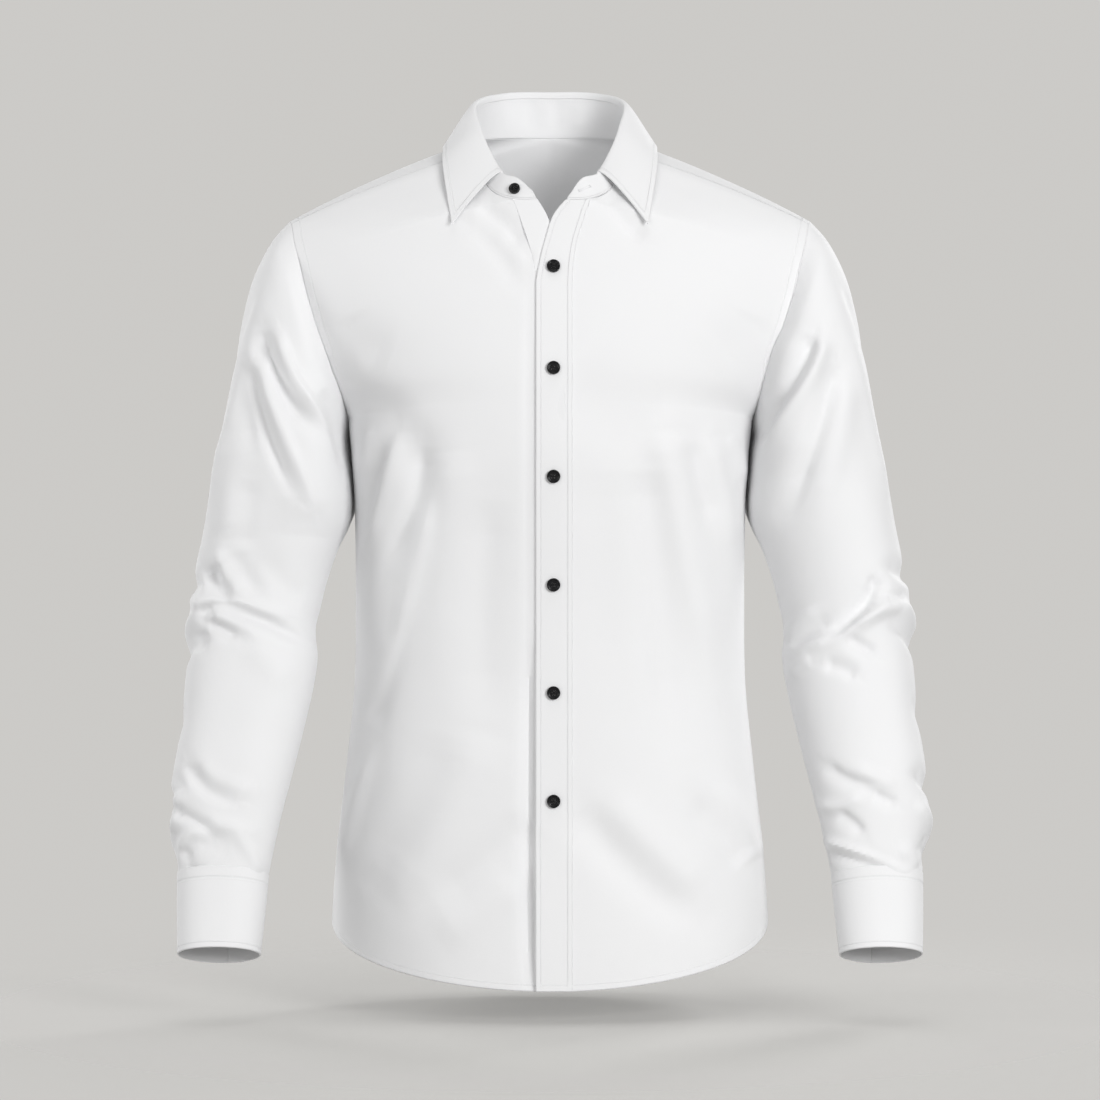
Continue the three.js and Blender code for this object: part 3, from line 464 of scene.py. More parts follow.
LEFT_SLEEVE_FOLDS = Table(FOLD_COLUMNS, [
    (228, -159, 214, -188, 187, -237, 5.5, -7.3, -0.3),
    (234, -160, 223, -197, 187, -254, 4.2, 5.6, 0.25),
    (248, -183, 235, -230, 207, -310, 6.5, -5.6, -0.2), (258, -195, 249, -247, 228, -317, 8, 3.1, 0),
    (197, -209, 190, -230, 183, -256, 4, -3.5, 0), (281, -374, 267, -397, 237, -420, 4.6, -6.9, -0.45),
    (291, -380, 268, -404, 203, -432, 4, 4.1, 0.3), (275, -369, 281, -373, 285, -378, 3.8, -3.4, 0),
    (261, -409, 281, -397, 302, -392, 5, 3.9, 0), (288, -386, 297, -384, 309, -385, 3.8, -3.2, 0),
    (203, -421, 214, -406, 232, -393, 4, 2.8, 0), (209, -427, 223, -414, 242, -400, 4.5, -3, 0),
    (257, -419, 268, -424, 281, -432, 4, -4.8, -0.25), (235, -443, 250, -445, 262, -452, 4.5, -4.6, 0.3),
    (206, -453, 216, -442, 225, -437, 4, 2.5, 0), (237, -526, 254, -538, 279, -544, 4.4, -4.2, -0.25),
    (258, -527, 277, -538, 296, -540, 5, 2.2, 0), (275, -549, 286, -554, 296, -559, 3.8, -3.8, -0.3),
    (228, -562, 249, -562, 263, -550, 3.8, 3, 0), (246, -567, 257, -574, 267, -584, 4.2, -4, -0.3),
    (234, -592, 261, -600, 307, -618, 3.8, 4.2, -0.3), (237, -602, 261, -607, 294, -614, 4, -4.6, 0.2),
    (296, -601, 307, -602, 315, -614, 5, 2.6, 0), (315, -594, 317, -604, 319, -616, 3.8, -2, 0),
    (206, -150, 207, -210, 212, -280, 17, 4.5, 0),
])
SLEEVE_BACK_FOLDS = Table(FOLD_COLUMNS, [
    (243, -126, 222, -176, 190, -236, 8, -6, 0.2), (256, -160, 240, -222, 222, -290, 8, 5.5, 0.2),
    (232, -140, 212, -190, 196, -250, 7, 4, 0), (276, -190, 268, -250, 262, -320, 9, -3.5, 0),
    (303, -352, 276, -372, 222, -388, 7, -6.5, 0.25), (300, -398, 270, -394, 226, -408, 6, 4.5, -0.2),
    (262, -420, 284, -446, 312, -452, 8, -5, 0.2), (310, -500, 282, -522, 256, -560, 8, -5.5, 0.2),
    (322, -548, 302, -560, 284, -596, 6, 4.5, 0), (250, -572, 268, -590, 296, -602, 5, -4.5, 0.2),
    (318, -584, 312, -600, 300, -614, 4.5, 3, 0),
])
SLEEVE_SIDE_FOLDS = Table(FOLD_COLUMNS, [
    (-30, -110, -8, -170, 10, -250, 9, -5, 0.2), (20, -120, 34, -190, 30, -280, 10, 4.5, 0),
    (-48, -150, -36, -220, -30, -300, 8, 3.5, 0), (-4, -240, 4, -290, 2, -340, 9, -3.5, 0),
    (-58, -352, -30, -366, 8, -360, 6, -6, 0.25), (-62, -382, -34, -398, -2, -420, 6, 4.5, -0.2),
    (-70, -404, -44, -420, -12, -448, 6, -5, 0.2), (-20, -400, 2, -420, 14, -452, 6, 3.5, 0),
    (-60, -470, -44, -490, -24, -500, 9, -3, 0), (-92, -530, -70, -548, -44, -552, 6, -5.5, 0.25),
    (-96, -560, -76, -574, -50, -600, 5.5, 4.5, 0), (-60, -560, -48, -584, -44, -606, 5, -4, 0),
    (-88, -588, -80, -602, -70, -612, 4.5, -3, 0),
])


def fold_heights(folds: Table, flat: Array) -> Array:
    """How far the folds move points in or out.

    Args:
        folds: Each fold's three points as seen from the side that it shows on, its width, its height,
            below zero for a trough, and how much steeper one of its sides is.
        flat: The points as seen from there.

    Returns:
        The height at each point.
    """
    total = np.zeros(len(flat))
    t = np.linspace(0, 1, 13)[:, None]
    for x1, z1, x2, z2, x3, z3, width, height, lean in folds.rows:
        start, middle, end = np.array([(x1, z1), (x2, z2), (x3, z3)])
        path = start * (1 - t) * (1 - 2 * t) + middle * 4 * t * (1 - t) + end * t * (2 * t - 1)
        low, high = path.min(axis=0) - 4 * width, path.max(axis=0) + 4 * width
        near = np.flatnonzero(((flat > low) & (flat < high)).all(axis=1))
        if not len(near):
            continue
        step = np.diff(path, axis=0)
        offset = flat[near][:, None] - path[:-1]
        share = np.clip((offset * step).sum(-1) / (step ** 2).sum(-1), 0, 1)
        away = offset - step * share[..., None]
        gaps = np.linalg.norm(away, axis=-1)
        best = gaps.argmin(axis=1)
        pick = np.arange(len(near)), best
        side = np.sign(step[best, 0] * away[pick][:, 1] - step[best, 1] * away[pick][:, 0])
        along = (best + share[pick]) / len(step)
        taper = np.minimum(1, 1.6 * np.sin(np.pi * (0.05 + 0.9 * along)))
        total[near] += height * taper * np.exp(-(gaps[pick] / (width * (1 + lean * side))) ** 2 / 2)
    return total


@dataclass
class Panel:
    """One grid of a panel's point numbers.

    Args:
        grid: Point numbers by rows and columns.
        turned: Whether its columns run clockwise as seen from outside.
        uv: Each point's place on the flat cloth, in millimetres.
    """

    grid: Array
    turned: bool
    uv: Array

    def corners(self) -> tuple[Array, Array]:
        """The four-sided faces and their corners' places on the flat cloth."""
        rows, columns = self.grid.shape
        r, c = np.meshgrid(np.arange(1, rows), np.arange(1, columns), indexing="ij")
        order = [(r - 1, c - 1), (r - 1, c), (r, c), (r, c - 1)]
        if self.turned:
            order.reverse()
        faces = np.stack([self.grid[i, j].ravel() for i, j in order], axis=1)
        places = np.stack([self.uv[i, j].reshape(-1, 2) for i, j in order], axis=1)
        return faces, places


class Cloth:
    """Panels that share the points of their seams, so that they fold together."""

    def __init__(self, panels: list[tuple[str, Array, bool]]) -> None:
        """Pools the points of all the panels.

        Args:
            panels: Each panel's name, its rows of points and whether it is turned.
        """
        flat = np.concatenate([rows.reshape(-1, 3) for _, rows, _ in panels])
        keys = np.round((flat + 0.00317) / 0.02).astype(np.int64)
        _, first, number = np.unique(keys, axis=0, return_index=True, return_inverse=True)
        number = number.reshape(-1)
        self.points: Array = flat[first]
        self.panels: dict[str, list[Panel]] = {}
        start = 0
        for name, rows, turned in panels:
            count = rows.shape[0] * rows.shape[1]
            grid = number[start:start + count].reshape(rows.shape[:2])
            across = np.linalg.norm(np.diff(rows, axis=1, prepend=rows[:, :1]), axis=-1).cumsum(axis=1)
            along = np.linalg.norm(np.diff(rows, axis=0, prepend=rows[:1]), axis=-1).cumsum(axis=0)
            self.panels.setdefault(name, []).append(Panel(grid, turned, np.stack([across, along], axis=-1)))
            start += count

    def faces(self, name: str) -> tuple[Array, Array]:
        """A panel's faces and their corners' places on the flat cloth."""
        parts = [panel.corners() for panel in self.panels[name]]
        return np.concatenate([part[0] for part in parts]), np.concatenate([part[1] for part in parts])

    def normals(self) -> Array:
        """The outward direction at each point, over all the panels that meet there."""
        total = np.zeros_like(self.points)
        for name in self.panels:
            faces, _ = self.faces(name)
            a, b, c, d = (self.points[faces[:, i]] for i in range(4))
            across = np.cross(c - a, d - b)
            for i in range(4):
                np.add.at(total, faces[:, i], across)
        return unit(total)

    def fold(self, name: str, folds: Table, facing: Facing) -> None:
        """Gives a panel its folds where the cloth faces the given way."""
        normals = self.normals()
        chosen = np.unique(self.faces(name)[0])
        height = facing.heights(folds, self.points[chosen], normals[chosen])
        self.points[chosen] += normals[chosen] * height[:, None]

    def grid(self, name: str, part: int = 0) -> tuple[Array, Array]:
        """A panel's points and outward directions by rows and columns."""
        numbers = self.panels[name][part].grid
        return self.points[numbers], self.normals()[numbers]

    def shell(self, name: str, wall: float, piece: str, seams: list[tuple[Array, float]]) -> bpy.types.Object:
        """A panel as a thin closed shell, its outer side on the panel's points.

        Args:
            name: The panel.
            wall: Its thickness in millimetres.
            piece: The new object's name.
            seams: Lines of points with the width of the welt beside each.

        Returns:
            The new object.
        """
        faces, places = self.faces(name)
        used, local = np.unique(faces, return_inverse=True)
        local = local.reshape(faces.shape)
        points, normals = self.points[used], self.normals()[used]
        count = len(used)
        edges = np.stack([local, np.roll(local, -1, axis=1)], axis=-1).reshape(-1, 2)
        edge_places = np.stack([places, np.roll(places, -1, axis=1)], axis=2).reshape(-1, 2, 2)
        rim = ~np.isin(edges[:, 0] * count + edges[:, 1], edges[:, 1] * count + edges[:, 0])
        edges, edge_places = edges[rim], edge_places[rim]
        inward = np.zeros_like(points)
        along = points[edges[:, 1]] - points[edges[:, 0]]
        for i in range(2):
            np.add.at(inward, edges[:, i], unit(np.cross(normals[edges[:, i]], along)))
        inward = inward * (0.4 * wall / np.maximum(1, (inward ** 2).sum(-1, keepdims=True) / 2))
        border = np.unique(edges)
        middle = np.full(count, -1)
        middle[border] = 2 * count + np.arange(len(border))
        vertices = np.concatenate([
            points + inward,
            points + inward - normals * wall,
            points[border] - normals[border] * wall / 2,
        ]) * MM
        start, end = edges.T
        outer_rim = np.stack([end, start, middle[start], middle[end]], axis=1)
        inner_rim = np.stack([middle[end], middle[start], start + count, end + count], axis=1)
        rim_places = edge_places[:, [1, 0, 0, 1]]
        all_faces = np.concatenate([local, local[:, ::-1] + count, outer_rim, inner_rim])
        all_places = np.concatenate([places, places[:, ::-1], rim_places, rim_places])
        mesh = bpy.data.meshes.new(piece)
        mesh.from_pydata(vertices.tolist(), [], all_faces.tolist())
        mesh.uv_layers.new(name="Cloth").data.foreach_set("uv", all_places.astype(np.float32).ravel())
        welt = np.full(count, FAR_FROM_SEAMS)
        for line, width in seams:
            welt = np.minimum(welt, distance_to(line, points) / width)
        values = np.concatenate([welt, np.full(count + len(border), FAR_FROM_SEAMS)])
        mesh.attributes.new("Welt", "FLOAT", "POINT").data.foreach_set("value", values.astype(np.float32))
        return finished(piece, mesh)


def distance_to(line: Array, points: Array) -> Array:
    """How far each point is from a line of points."""
    lengths = lengths_along(line)
    dense = read_at(np.linspace(0, lengths[-1], max(2, int(lengths[-1] / 2))), lengths, line)
    starts, steps = dense[:-1], np.diff(dense, axis=0)
    best = np.full(len(points), np.inf)
    for chunk in np.array_split(np.arange(len(points)), max(1, len(points) // 4000)):
        offset = points[chunk][:, None] - starts
        share = np.clip((offset * steps).sum(-1) / (steps ** 2).sum(-1), 0, 1)
        best[chunk] = np.linalg.norm(offset - steps * share[..., None], axis=-1).min(axis=1)
    return best


def linked(name: str, data: Any) -> bpy.types.Object:
    """A new object of the scene."""
    piece = bpy.data.objects.new(name, data)
    bpy.context.scene.collection.objects.link(piece)
    return piece


def deselect() -> None:
    """Leaves nothing selected."""
    bpy.ops.object.select_all(action="DESELECT")


def finished(name: str, mesh: bpy.types.Mesh, angle: float = 40) -> bpy.types.Object:
    """A mesh as an object of the scene, shaded smooth below an angle in degrees."""
    mesh.validate()
    piece = linked(name, mesh)
    deselect()
    piece.select_set(True)
    bpy.context.view_layer.objects.active = piece
    bpy.ops.object.shade_smooth_by_angle(angle=math.radians(angle))
    piece.select_set(False)
    return piece


def edge_line(points: Array, normals: Array, side: Side, inside: float, trim: tuple[float, float] = (0, 0),
              ) -> tuple[Array, Array]:
    """A line on a grid at a constant distance inside one of its edges, in even steps of about 2 mm.

    Args:
        points: The grid's points.
        normals: Their outward directions.
        side: The edge.
        inside: The distance from the edge.
        trim: How much is left out at the line's start and end.

    Returns:
        The line's points and outward directions.
    """
    if side in (Side.FIRST_ROW, Side.LAST_ROW):
        points, normals = points.swapaxes(0, 1), normals.swapaxes(0, 1)
    if side in (Side.LAST_ROW, Side.LAST_COLUMN):
        points, normals = points[:, ::-1], normals[:, ::-1]
    lengths = np.linalg.norm(np.diff(points, axis=1, prepend=points[:, :1]), axis=-1).cumsum(axis=1)
    line, facing = (np.array([read_at(inside, reach, row) for reach, row in zip(lengths, grid)])
                    for grid in (points, normals))
    facing, reached = unit(facing), lengths_along(line)
    places = np.linspace(trim[0], reached[-1] - trim[1], max(2, int((reached[-1] - sum(trim)) / 2)))
    return read_at(places, reached, line), unit(read_at(places, reached, facing))


@dataclass
class Sewing:
    """Lines of stitches that are joined as one piece.

    Args:
        name: The piece's name.
        pitch: From one stitch to the next, in millimetres.
        length: The part of a stitch that shows.
        radius: Half a stitch's width.
    """

    name: str
    pitch: float
    length: float
    radius: float
    vertices: list[Array] = field(default_factory=list)
    faces: list[Array] = field(default_factory=list)
    count: int = 0

    def along(self, line: Array, facing: Array, lift: float = 0.05) -> None:
        """Adds the stitches of one line, each a four-sided rod that dips at both ends.

        Args:
            line: Points on the cloth.
            facing: Their outward directions.
            lift: How far the thread's middle is above the cloth.
        """
        lengths = lengths_along(line)
        number = max(1, int(lengths[-1] / self.pitch))
        middles = (np.arange(number) + 0.5) * lengths[-1] / number
        places = middles[:, None] + np.array([-0.5, -0.3, 0.3, 0.5]) * self.length
        widths = np.array([0.45, 1, 1, 0.45]) * self.radius
        sinks = np.array([-0.25, 0, 0, -0.25]) + lift
        centre = read_at(places, lengths, line)
        up = unit(read_at(places, lengths, facing))
        run = unit(centre[:, 2:3] - centre[:, 1:2])
        side = unit(np.cross(up, np.broadcast_to(run, up.shape)))
        turn = np.arange(4) * 2 * math.pi / 4 + math.pi / 4
        ring = (side[:, :, None] * np.cos(turn)[:, None] + up[:, :, None] * np.sin(turn)[:, None])
        points = centre[:, :, None] + up[:, :, None] * sinks[:, None, None] + ring * widths[:, None, None]
        quads = [(low + i, low + (i + 1) % 4, low + 4 + (i + 1) % 4, low + 4 + i)
                 for low in (0, 4, 8) for i in range(4)]
        quads += [(3, 2, 1, 0), (12, 13, 14, 15)]
        start = self.count + np.arange(number)[:, None, None] * 16
        self.faces.append((np.array(quads) + start).reshape(-1, 4))
        self.vertices.append(points.reshape(-1, 3))
        self.count += number * 16

    def make(self) -> bpy.types.Object:
        """The stitches as one object, their faces turned outwards."""
        mesh = bpy.data.meshes.new(self.name)
        vertices = np.concatenate(self.vertices) * MM
        mesh.from_pydata(vertices.tolist(), [], np.concatenate(self.faces).tolist())
        shaped = bmesh.new()
        shaped.from_mesh(mesh)
        bmesh.ops.recalc_face_normals(shaped, faces=shaped.faces)
        shaped.to_mesh(mesh)
        shaped.free()
        return finished(self.name, mesh, 60)


@dataclass
class Body:
    """Fronts, button band, back, yoke and sleeves, which share their seams.

    Args:
        armhole_welt: The width of the armhole's welt.
        fell: The width of a felled seam.
        yoke_edge: From a yoke seam to its stitches.
        close_in: How much closer to the body the sleeve's back lies, below the armpit.
        band_columns: The columns of the button band.
        low: The rows below the armpit.
    """

    armhole_welt: float = 8.0
    fell: float = 6.0
    yoke_edge: float = 2.0
    close_in: float = 14.0
    band_columns: int = 8
    low: int = ARMPIT * LOW_ROWS
    cloth: Cloth = field(init=False)
    angles: Array = field(init=False)

    def __post_init__(self) -> None:
        """Makes the panels' points and gives them their folds."""
        steps = front_steps()
        to_yoke = np.concatenate([steps, spread(FRONT_NECK, FRONT_NECK + 3, NECK_ROWS)[1:]])
        left = front_frame(to_yoke, opening("panel_edge", to_yoke)).rows()
        right = mirrored(front_frame(to_yoke, -opening("band_seam", to_yoke)).rows())
        share = np.linspace(0, 1, self.band_columns + 1)
        seam, edge = opening("band_seam", steps)[:, None], opening("band_edge", steps)[:, None]
        yoke = yoke_rows(spread(0, 5, NECK_ROWS))
        loop, self.angles = armhole()
        sleeve = self.sleeve(loop)
        self.cloth = Cloth([
            ("left_front", left, False),
            ("right_front", right, True),
            ("button_band", front_points(steps, seam + (edge - seam) * share), False),
            ("back", back_rows(steps), True),
            ("yoke", yoke, True),
            ("yoke", mirrored(yoke), False),
            ("left_sleeve", sleeve, True),
            ("right_sleeve", mirrored(sleeve), False),
        ])
        for name, folds, facing in (
            ("left_front", FRONT_FOLDS, Facing.FRONT),
            ("right_front", FRONT_FOLDS, Facing.FRONT),
            ("right_front", PLACKET_HOLLOW, Facing.FRONT),
            ("back", BACK_FOLDS, Facing.BACK),
            ("left_sleeve", LEFT_SLEEVE_FOLDS, Facing.FRONT),
            ("right_sleeve", RIGHT_SLEEVE_FOLDS, Facing.FRONT),
            ("left_sleeve", SLEEVE_BACK_FOLDS, Facing.BACK),
            ("right_sleeve", SLEEVE_BACK_FOLDS.other_side(), Facing.BACK),
            ("left_sleeve", SLEEVE_SIDE_FOLDS, Facing.LEFT),
            ("right_sleeve", SLEEVE_SIDE_FOLDS.other_side(1), Facing.RIGHT),
        ):
            self.cloth.fold(name, folds, facing)

    def sleeve(self, loop: Array) -> Array:
        """The left sleeve's rows, from the armhole to just inside the cuff.

        Args:
            loop: The armhole's points.

        Returns:
            The rows.
        """
        tuck = np.array([(317.4, -630, 243.8, -631, -83, 32, 18)])
        rings = [ring_points(ring, self.angles) for ring in np.concatenate([SLEEVE.rows, tuck])]
        rows = smooth_rows(np.stack([loop, *rings]), spread(0, len(rings), SLEEVE_ROWS))
        x, y, z = np.moveaxis(rows, -1, 0)
        behind = np.exp(-((y - 34) / 22) ** 2 - ((x - 194) / 22) ** 2)
        near = behind * eased((-226 - z) / 12) * eased((z + 345) / 40)
        rows[..., 0] -= self.close_in * near
        return rows

    def lines(self) -> dict[str, list[tuple[Array, float]]]:
        """Each panel's seams that have a welt beside them, with the welt's width."""
        rows = {name: self.cloth.grid(name)[0] for name in self.cloth.panels}
        around = {side: (rows[f"{side}_sleeve"][0], self.armhole_welt) for side in ("left", "right")}
        sides = [(rows["back"][:self.low + 1, end], self.fell) for end in (0, -1)]
        yoke = [self.cloth.grid("yoke", part)[0] for part in (0, 1)]
        lines = {
            "button_band": [],
            "back": [*around.values(), *sides, (rows["back"][0], HEM)],
            "yoke": [*around.values(), *((half[row], self.yoke_edge) for half in yoke for row in (0, -1))],
        }
        for side in ("left", "right"):
            lines[f"{side}_front"] = [around[side], (rows[f"{side}_front"][0], HEM)]
            lines[f"{side}_sleeve"] = [(rows[f"{side}_sleeve"][:, 0], self.fell)]
        return lines

    def panels(self) -> dict[str, bpy.types.Object]:
        """All the panels as shells."""
        lines = self.lines()
        return {name: self.cloth.shell(name, CLOTH, name, lines[name]) for name in self.cloth.panels}

    def sew(self, sewing: Sewing) -> None:
        """Adds the stitches of the armholes, yoke, hem, side seams and sleeves."""
        ends = {"left_front": [Side.LAST_COLUMN], "right_front": [Side.LAST_COLUMN],
                "back": [Side.FIRST_COLUMN, Side.LAST_COLUMN]}
        for name, sides in ends.items():
            points, normals = self.cloth.grid(name)
            upper = points[self.low:], normals[self.low:]
            lower = points[:self.low + 1], normals[:self.low + 1]
            for side in sides:
                sewing.along(*edge_line(*upper, side, self.armhole_welt, (6, 0)))
                if name == "back":
                    for inside in (SEAM_STITCH, self.fell):
                        sewing.along(*edge_line(*lower, side, inside, (0, 4)))
            sewing.along(*edge_line(points, normals, Side.FIRST_ROW, HEM))
        for part in (0, 1):
            half = self.cloth.grid("yoke", part)
            sewing.along(*edge_line(*half, Side.FIRST_ROW, self.yoke_edge))
            sewing.along(*edge_line(*half, Side.LAST_ROW, self.yoke_edge))
            sewing.along(*edge_line(*half, Side.LAST_COLUMN, self.armhole_welt))
        for name in ("left_sleeve", "right_sleeve"):
            for inside in (SEAM_STITCH, self.fell):
                sewing.along(*edge_line(*self.cloth.grid(name), Side.FIRST_COLUMN, inside, (4, 12)))


def button_place(points: Array, normals: Array, x: float, z: float) -> tuple[Array, Array]:
    """The place on a grid that shows at x and z from the front, and its outward direction."""
    nearest = np.argmin((points[..., 0] - x) ** 2 + (points[..., 2] - z) ** 2)
    point, normal = points.reshape(-1, 3)[nearest], normals.reshape(-1, 3)[nearest]
    y = point[1] - (normal[0] * (x - point[0]) + normal[2] * (z - point[2])) / normal[1]
    return np.array([x, y, z]), normal


@dataclass
class Placket:
    """The buttonhole strip, which lies on the left front and over the button band.

    Args:
        edge: From an edge to its stitches.
        drop: How far it stays below the neck seam, in steps.
        ajar: How far its free edge stands off near the hem.
        press: How much closer its sewn edge lies.
        columns: The columns of its grid.
        button_x: Where its buttons sit beside the centre.
        button_heights: How high they sit.
        slit: A buttonhole's length.
    """

    edge: float = 4.3
    drop: float = 0.06
    ajar: float = 1.2
    press: float = 0.35
    columns: int = 12
    button_x: float = 3.0
    button_heights: tuple[float, ...] = (-101, -188.5, -280.5, -372.5, -464.5, -556.5)
    slit: float = 13.5
    cloth: Cloth = field(init=False)

    def __post_init__(self) -> None:
        """Makes the strip's points above the panel's surface."""
        steps = front_steps()
        steps[-1] -= self.drop
        left, right = opening("placket_left", steps)[:, None], opening("placket_right", steps)[:, None]
        share = np.linspace(0, 1, self.columns + 1)
        flat = Cloth([("placket", front_points(steps, left + (right - left) * share), False)])
        flat.fold("placket", FRONT_FOLDS, Facing.FRONT)
        rows, normals = flat.grid("placket")
        z = rows[:, :1, 2]
        low = eased((-330 - z) / 330) * eased((z + 735) / 60 + 0.5)
        off = self.ajar * (1 - share) ** 2 * low
        rows = rows + normals * (STACK + LINED + off - self.press * eased(share * 3 - 2))[..., None]
        self.cloth = Cloth([("placket", rows, False)])

    def strip(self) -> bpy.types.Object:
        """The strip as a shell."""
        rows, _ = self.cloth.grid("placket")
        seams = [(rows[:, 0], self.edge), (rows[:, -1], self.edge), (rows[0], HEM)]
        return self.cloth.shell("placket", LINED, "placket", seams)

    def sew(self, sewing: Sewing) -> None:
        """Adds the stitches beside both edges and the hem."""
        rows = self.cloth.grid("placket")
        sewing.along(*edge_line(*rows, Side.FIRST_COLUMN, self.edge, (1, 2)))
        sewing.along(*edge_line(*rows, Side.LAST_COLUMN, self.edge, (1, 2)))
        sewing.along(*edge_line(*rows, Side.FIRST_ROW, HEM, (5, 5)))

    def button_places(self) -> list[tuple[Array, Array]]:
        """Where the six front buttons sit, and which way they face."""
        return [button_place(*self.cloth.grid("placket"), self.button_x, z) for z in self.button_heights]

    def sew_slits(self, sewing: Sewing) -> None:
        """Adds the upright buttonhole under each button."""
        for place, facing in self.button_places():
            sew_slit(sewing, place, facing, UP, self.slit)


def sew_slit(sewing: Sewing, place: Array, facing: Array, run: Array, length: float) -> None:
    """Adds a buttonhole: a close row of stitches on each side of a slit, and one across each end.

    Args:
        sewing: What the stitches are added to.
        place: The slit's middle.
        facing: The cloth's outward direction.
        run: The slit's direction.
        length: The slit's length.
    """
    run = unit(run - facing * (run @ facing))
    across = np.cross(facing, run)
    ends = np.array([-0.5, 0.5])[:, None] * run * length
    both = np.stack([facing, facing])
    for side in (-0.75, 0.75):
        sewing.along(place + ends + across * side, both, 0.02)
    for end in ends:
        sewing.along(place + end + np.array([-1.2, 1.2])[:, None] * across, both, 0.02)


@dataclass
class Collar:
    """The stand round the neck and the leaf that falls over it.

    Args:
        edge: From the leaf's edge to its stitches.
        stand_edge: From the stand's foot to its stitches.
        wrap: How far the leaf reaches down inside the stand.
        rise: From the stand's top to the leaf's fold.
        taper: How much lower the stand's left end is than its right one.
        roll_at: Where the leaf rolls outwards, as a share of its height.
        roll_rise: How high the roll stands above the fold.
        roll: How far the roll stands out, as a share of the table's column.
        leaf_rows: The rows from the leaf's fold to its edge.
        fold_row: The leaf's row at its fold.
        gap: Between the stand and the leaf inside it.
        slit: The buttonhole's length.
    """

    edge: float = 5.0
    stand_edge: float = 2.0
    wrap: float = 4.0
    rise: float = 2.4
    taper: float = 5.2
    roll_at: float = 0.14
    roll_rise: float = 0.4
    roll: float = 0.3
    leaf_rows: int = 24
    fold_row: int = 6
    gap: float = 0.9
    slit: float = 12.0
    cloth: Cloth = field(init=False)
    leaf: Cloth = field(init=False)

    def __post_init__(self) -> None:
        """Makes the points of the stand and the leaf."""
        stand_steps = spread(-NECK_SEAM.last, NECK_SEAM.last, 12)
        stand = np.stack([self.stand_points(stand_steps, height) for height in np.linspace(0, 1, 15)])
        leaf_steps = spread(-LEAF_STEPS, LEAF_STEPS, 14)
        self.cloth = Cloth([("stand", stand, True)])
        self.cloth.fold("stand", STAND_FOLDS, Facing.BACK)
        self.leaf = Cloth([("leaf", self.leaf_points(leaf_steps), False)])

    def stand_points(self, steps: Array, height: float) -> Array:
        """Points of the stand's outer side, from its foot at 0 to its top at 1."""
        foot = round_neck(NECK_SEAM, steps) - (0, 0, 0.1)
        foot += eased(1 - NECK_SEAM.last - steps)[:, None] * (3, 0, 0)
        low = eased(steps - NECK_SEAM.last + 1)[:, None] * (0, 0, self.taper)
        return foot + (round_neck(STAND_TOP, steps) - low - foot) * height

    def leaf_points(self, steps: Array) -> Array:
        """Rows of the leaf's outer side, from inside the stand over its fold and roll to its edge.

        Args:
            steps: Steps round the neck.

        Returns:
            The rows.
        """
        top = round_neck(STAND_TOP, steps)
        edge = round_neck(LEAF_EDGE, steps)
        rise = (self.rise * (1 - 0.75 * eased((np.abs(steps) - 3.4) / 1.6)))[:, None]
        fold = top + UP * rise
        outward = unit((edge - fold) * (1, 1, 0))
        roll = LEAF_EDGE.column("roll", np.abs(steps))[:, None] * self.roll
        crest = fold + (edge - fold) * self.roll_at + outward * roll
        crest[:, 2] = fold[:, 2] + self.roll_rise * (rise[:, 0] / self.rise)
        inside = outward * (LINED + self.gap)
        rows = [top - inside - UP * down for down in (self.wrap, self.wrap / 2, 0)]
        for degrees in (22, 45, 67):
            turn = math.radians(degrees)
            rows.append(top - inside * math.cos(turn) + UP * rise * math.sin(turn))
        for t in np.linspace(0, 1, self.leaf_rows + 1):
            rows.append(fold * (1 - t) ** 2 + crest * 2 * t * (1 - t) + edge * t * t)
        return np.stack(rows)

    def pieces(self) -> dict[str, bpy.types.Object]:
        """The stand and the leaf as shells."""
        stand, _ = self.cloth.grid("stand")
        leaf, _ = self.leaf.grid("leaf")
        outside = leaf[self.fold_row:]
        around = [(line, self.edge) for line in (leaf[-1], outside[:, 0], outside[:, -1])]
        return {
            "stand": self.cloth.shell("stand", LINED, "collar_stand", [(stand[0], self.stand_edge)]),
            "leaf": self.leaf.shell("leaf", LINED, "collar_leaf", around),
        }

    def sew(self, sewing: Sewing) -> None:
        """Adds the stitches of the stand, outside and inside, and round the leaf."""
        points, normals = self.cloth.grid("stand")
        sewing.along(*edge_line(points, normals, Side.FIRST_ROW, self.stand_edge, (2, 2)))
        for side in (Side.FIRST_COLUMN, Side.LAST_COLUMN):
            sewing.along(*edge_line(points, normals, side, self.stand_edge, (2, 1)))
        inner = points - normals * LINED
        sewing.along(*edge_line(inner, -normals, Side.FIRST_ROW, self.stand_edge, (2, 2)))
        sewing.along(*edge_line(inner, -normals, Side.LAST_ROW, 6.5, (30, 30)))
        points, normals = (values[self.fold_row:] for values in self.leaf.grid("leaf"))
        sewing.along(*edge_line(points, normals, Side.LAST_ROW, self.edge, (self.edge, self.edge)))
        for side in (Side.FIRST_COLUMN, Side.LAST_COLUMN):
            sewing.along(*edge_line(points, normals, side, self.edge, (2, self.edge)))

    def button_place(self) -> tuple[Array, Array]:
        """Where the collar's button sits on the wearer's right end of the stand."""
        return self.on_stand(-6.0, 0.45)

    def on_stand(self, step: float, height: float) -> tuple[Array, Array]:
        """A place on the stand's outer side and its outward direction."""
        steps = np.array([step - 0.05, step, step + 0.05])
        middle, above = self.stand_points(steps, height), self.stand_points(steps, height + 0.05)
        facing = np.cross(above[1] - middle[1], middle[2] - middle[0])
        return middle[1], unit(facing)

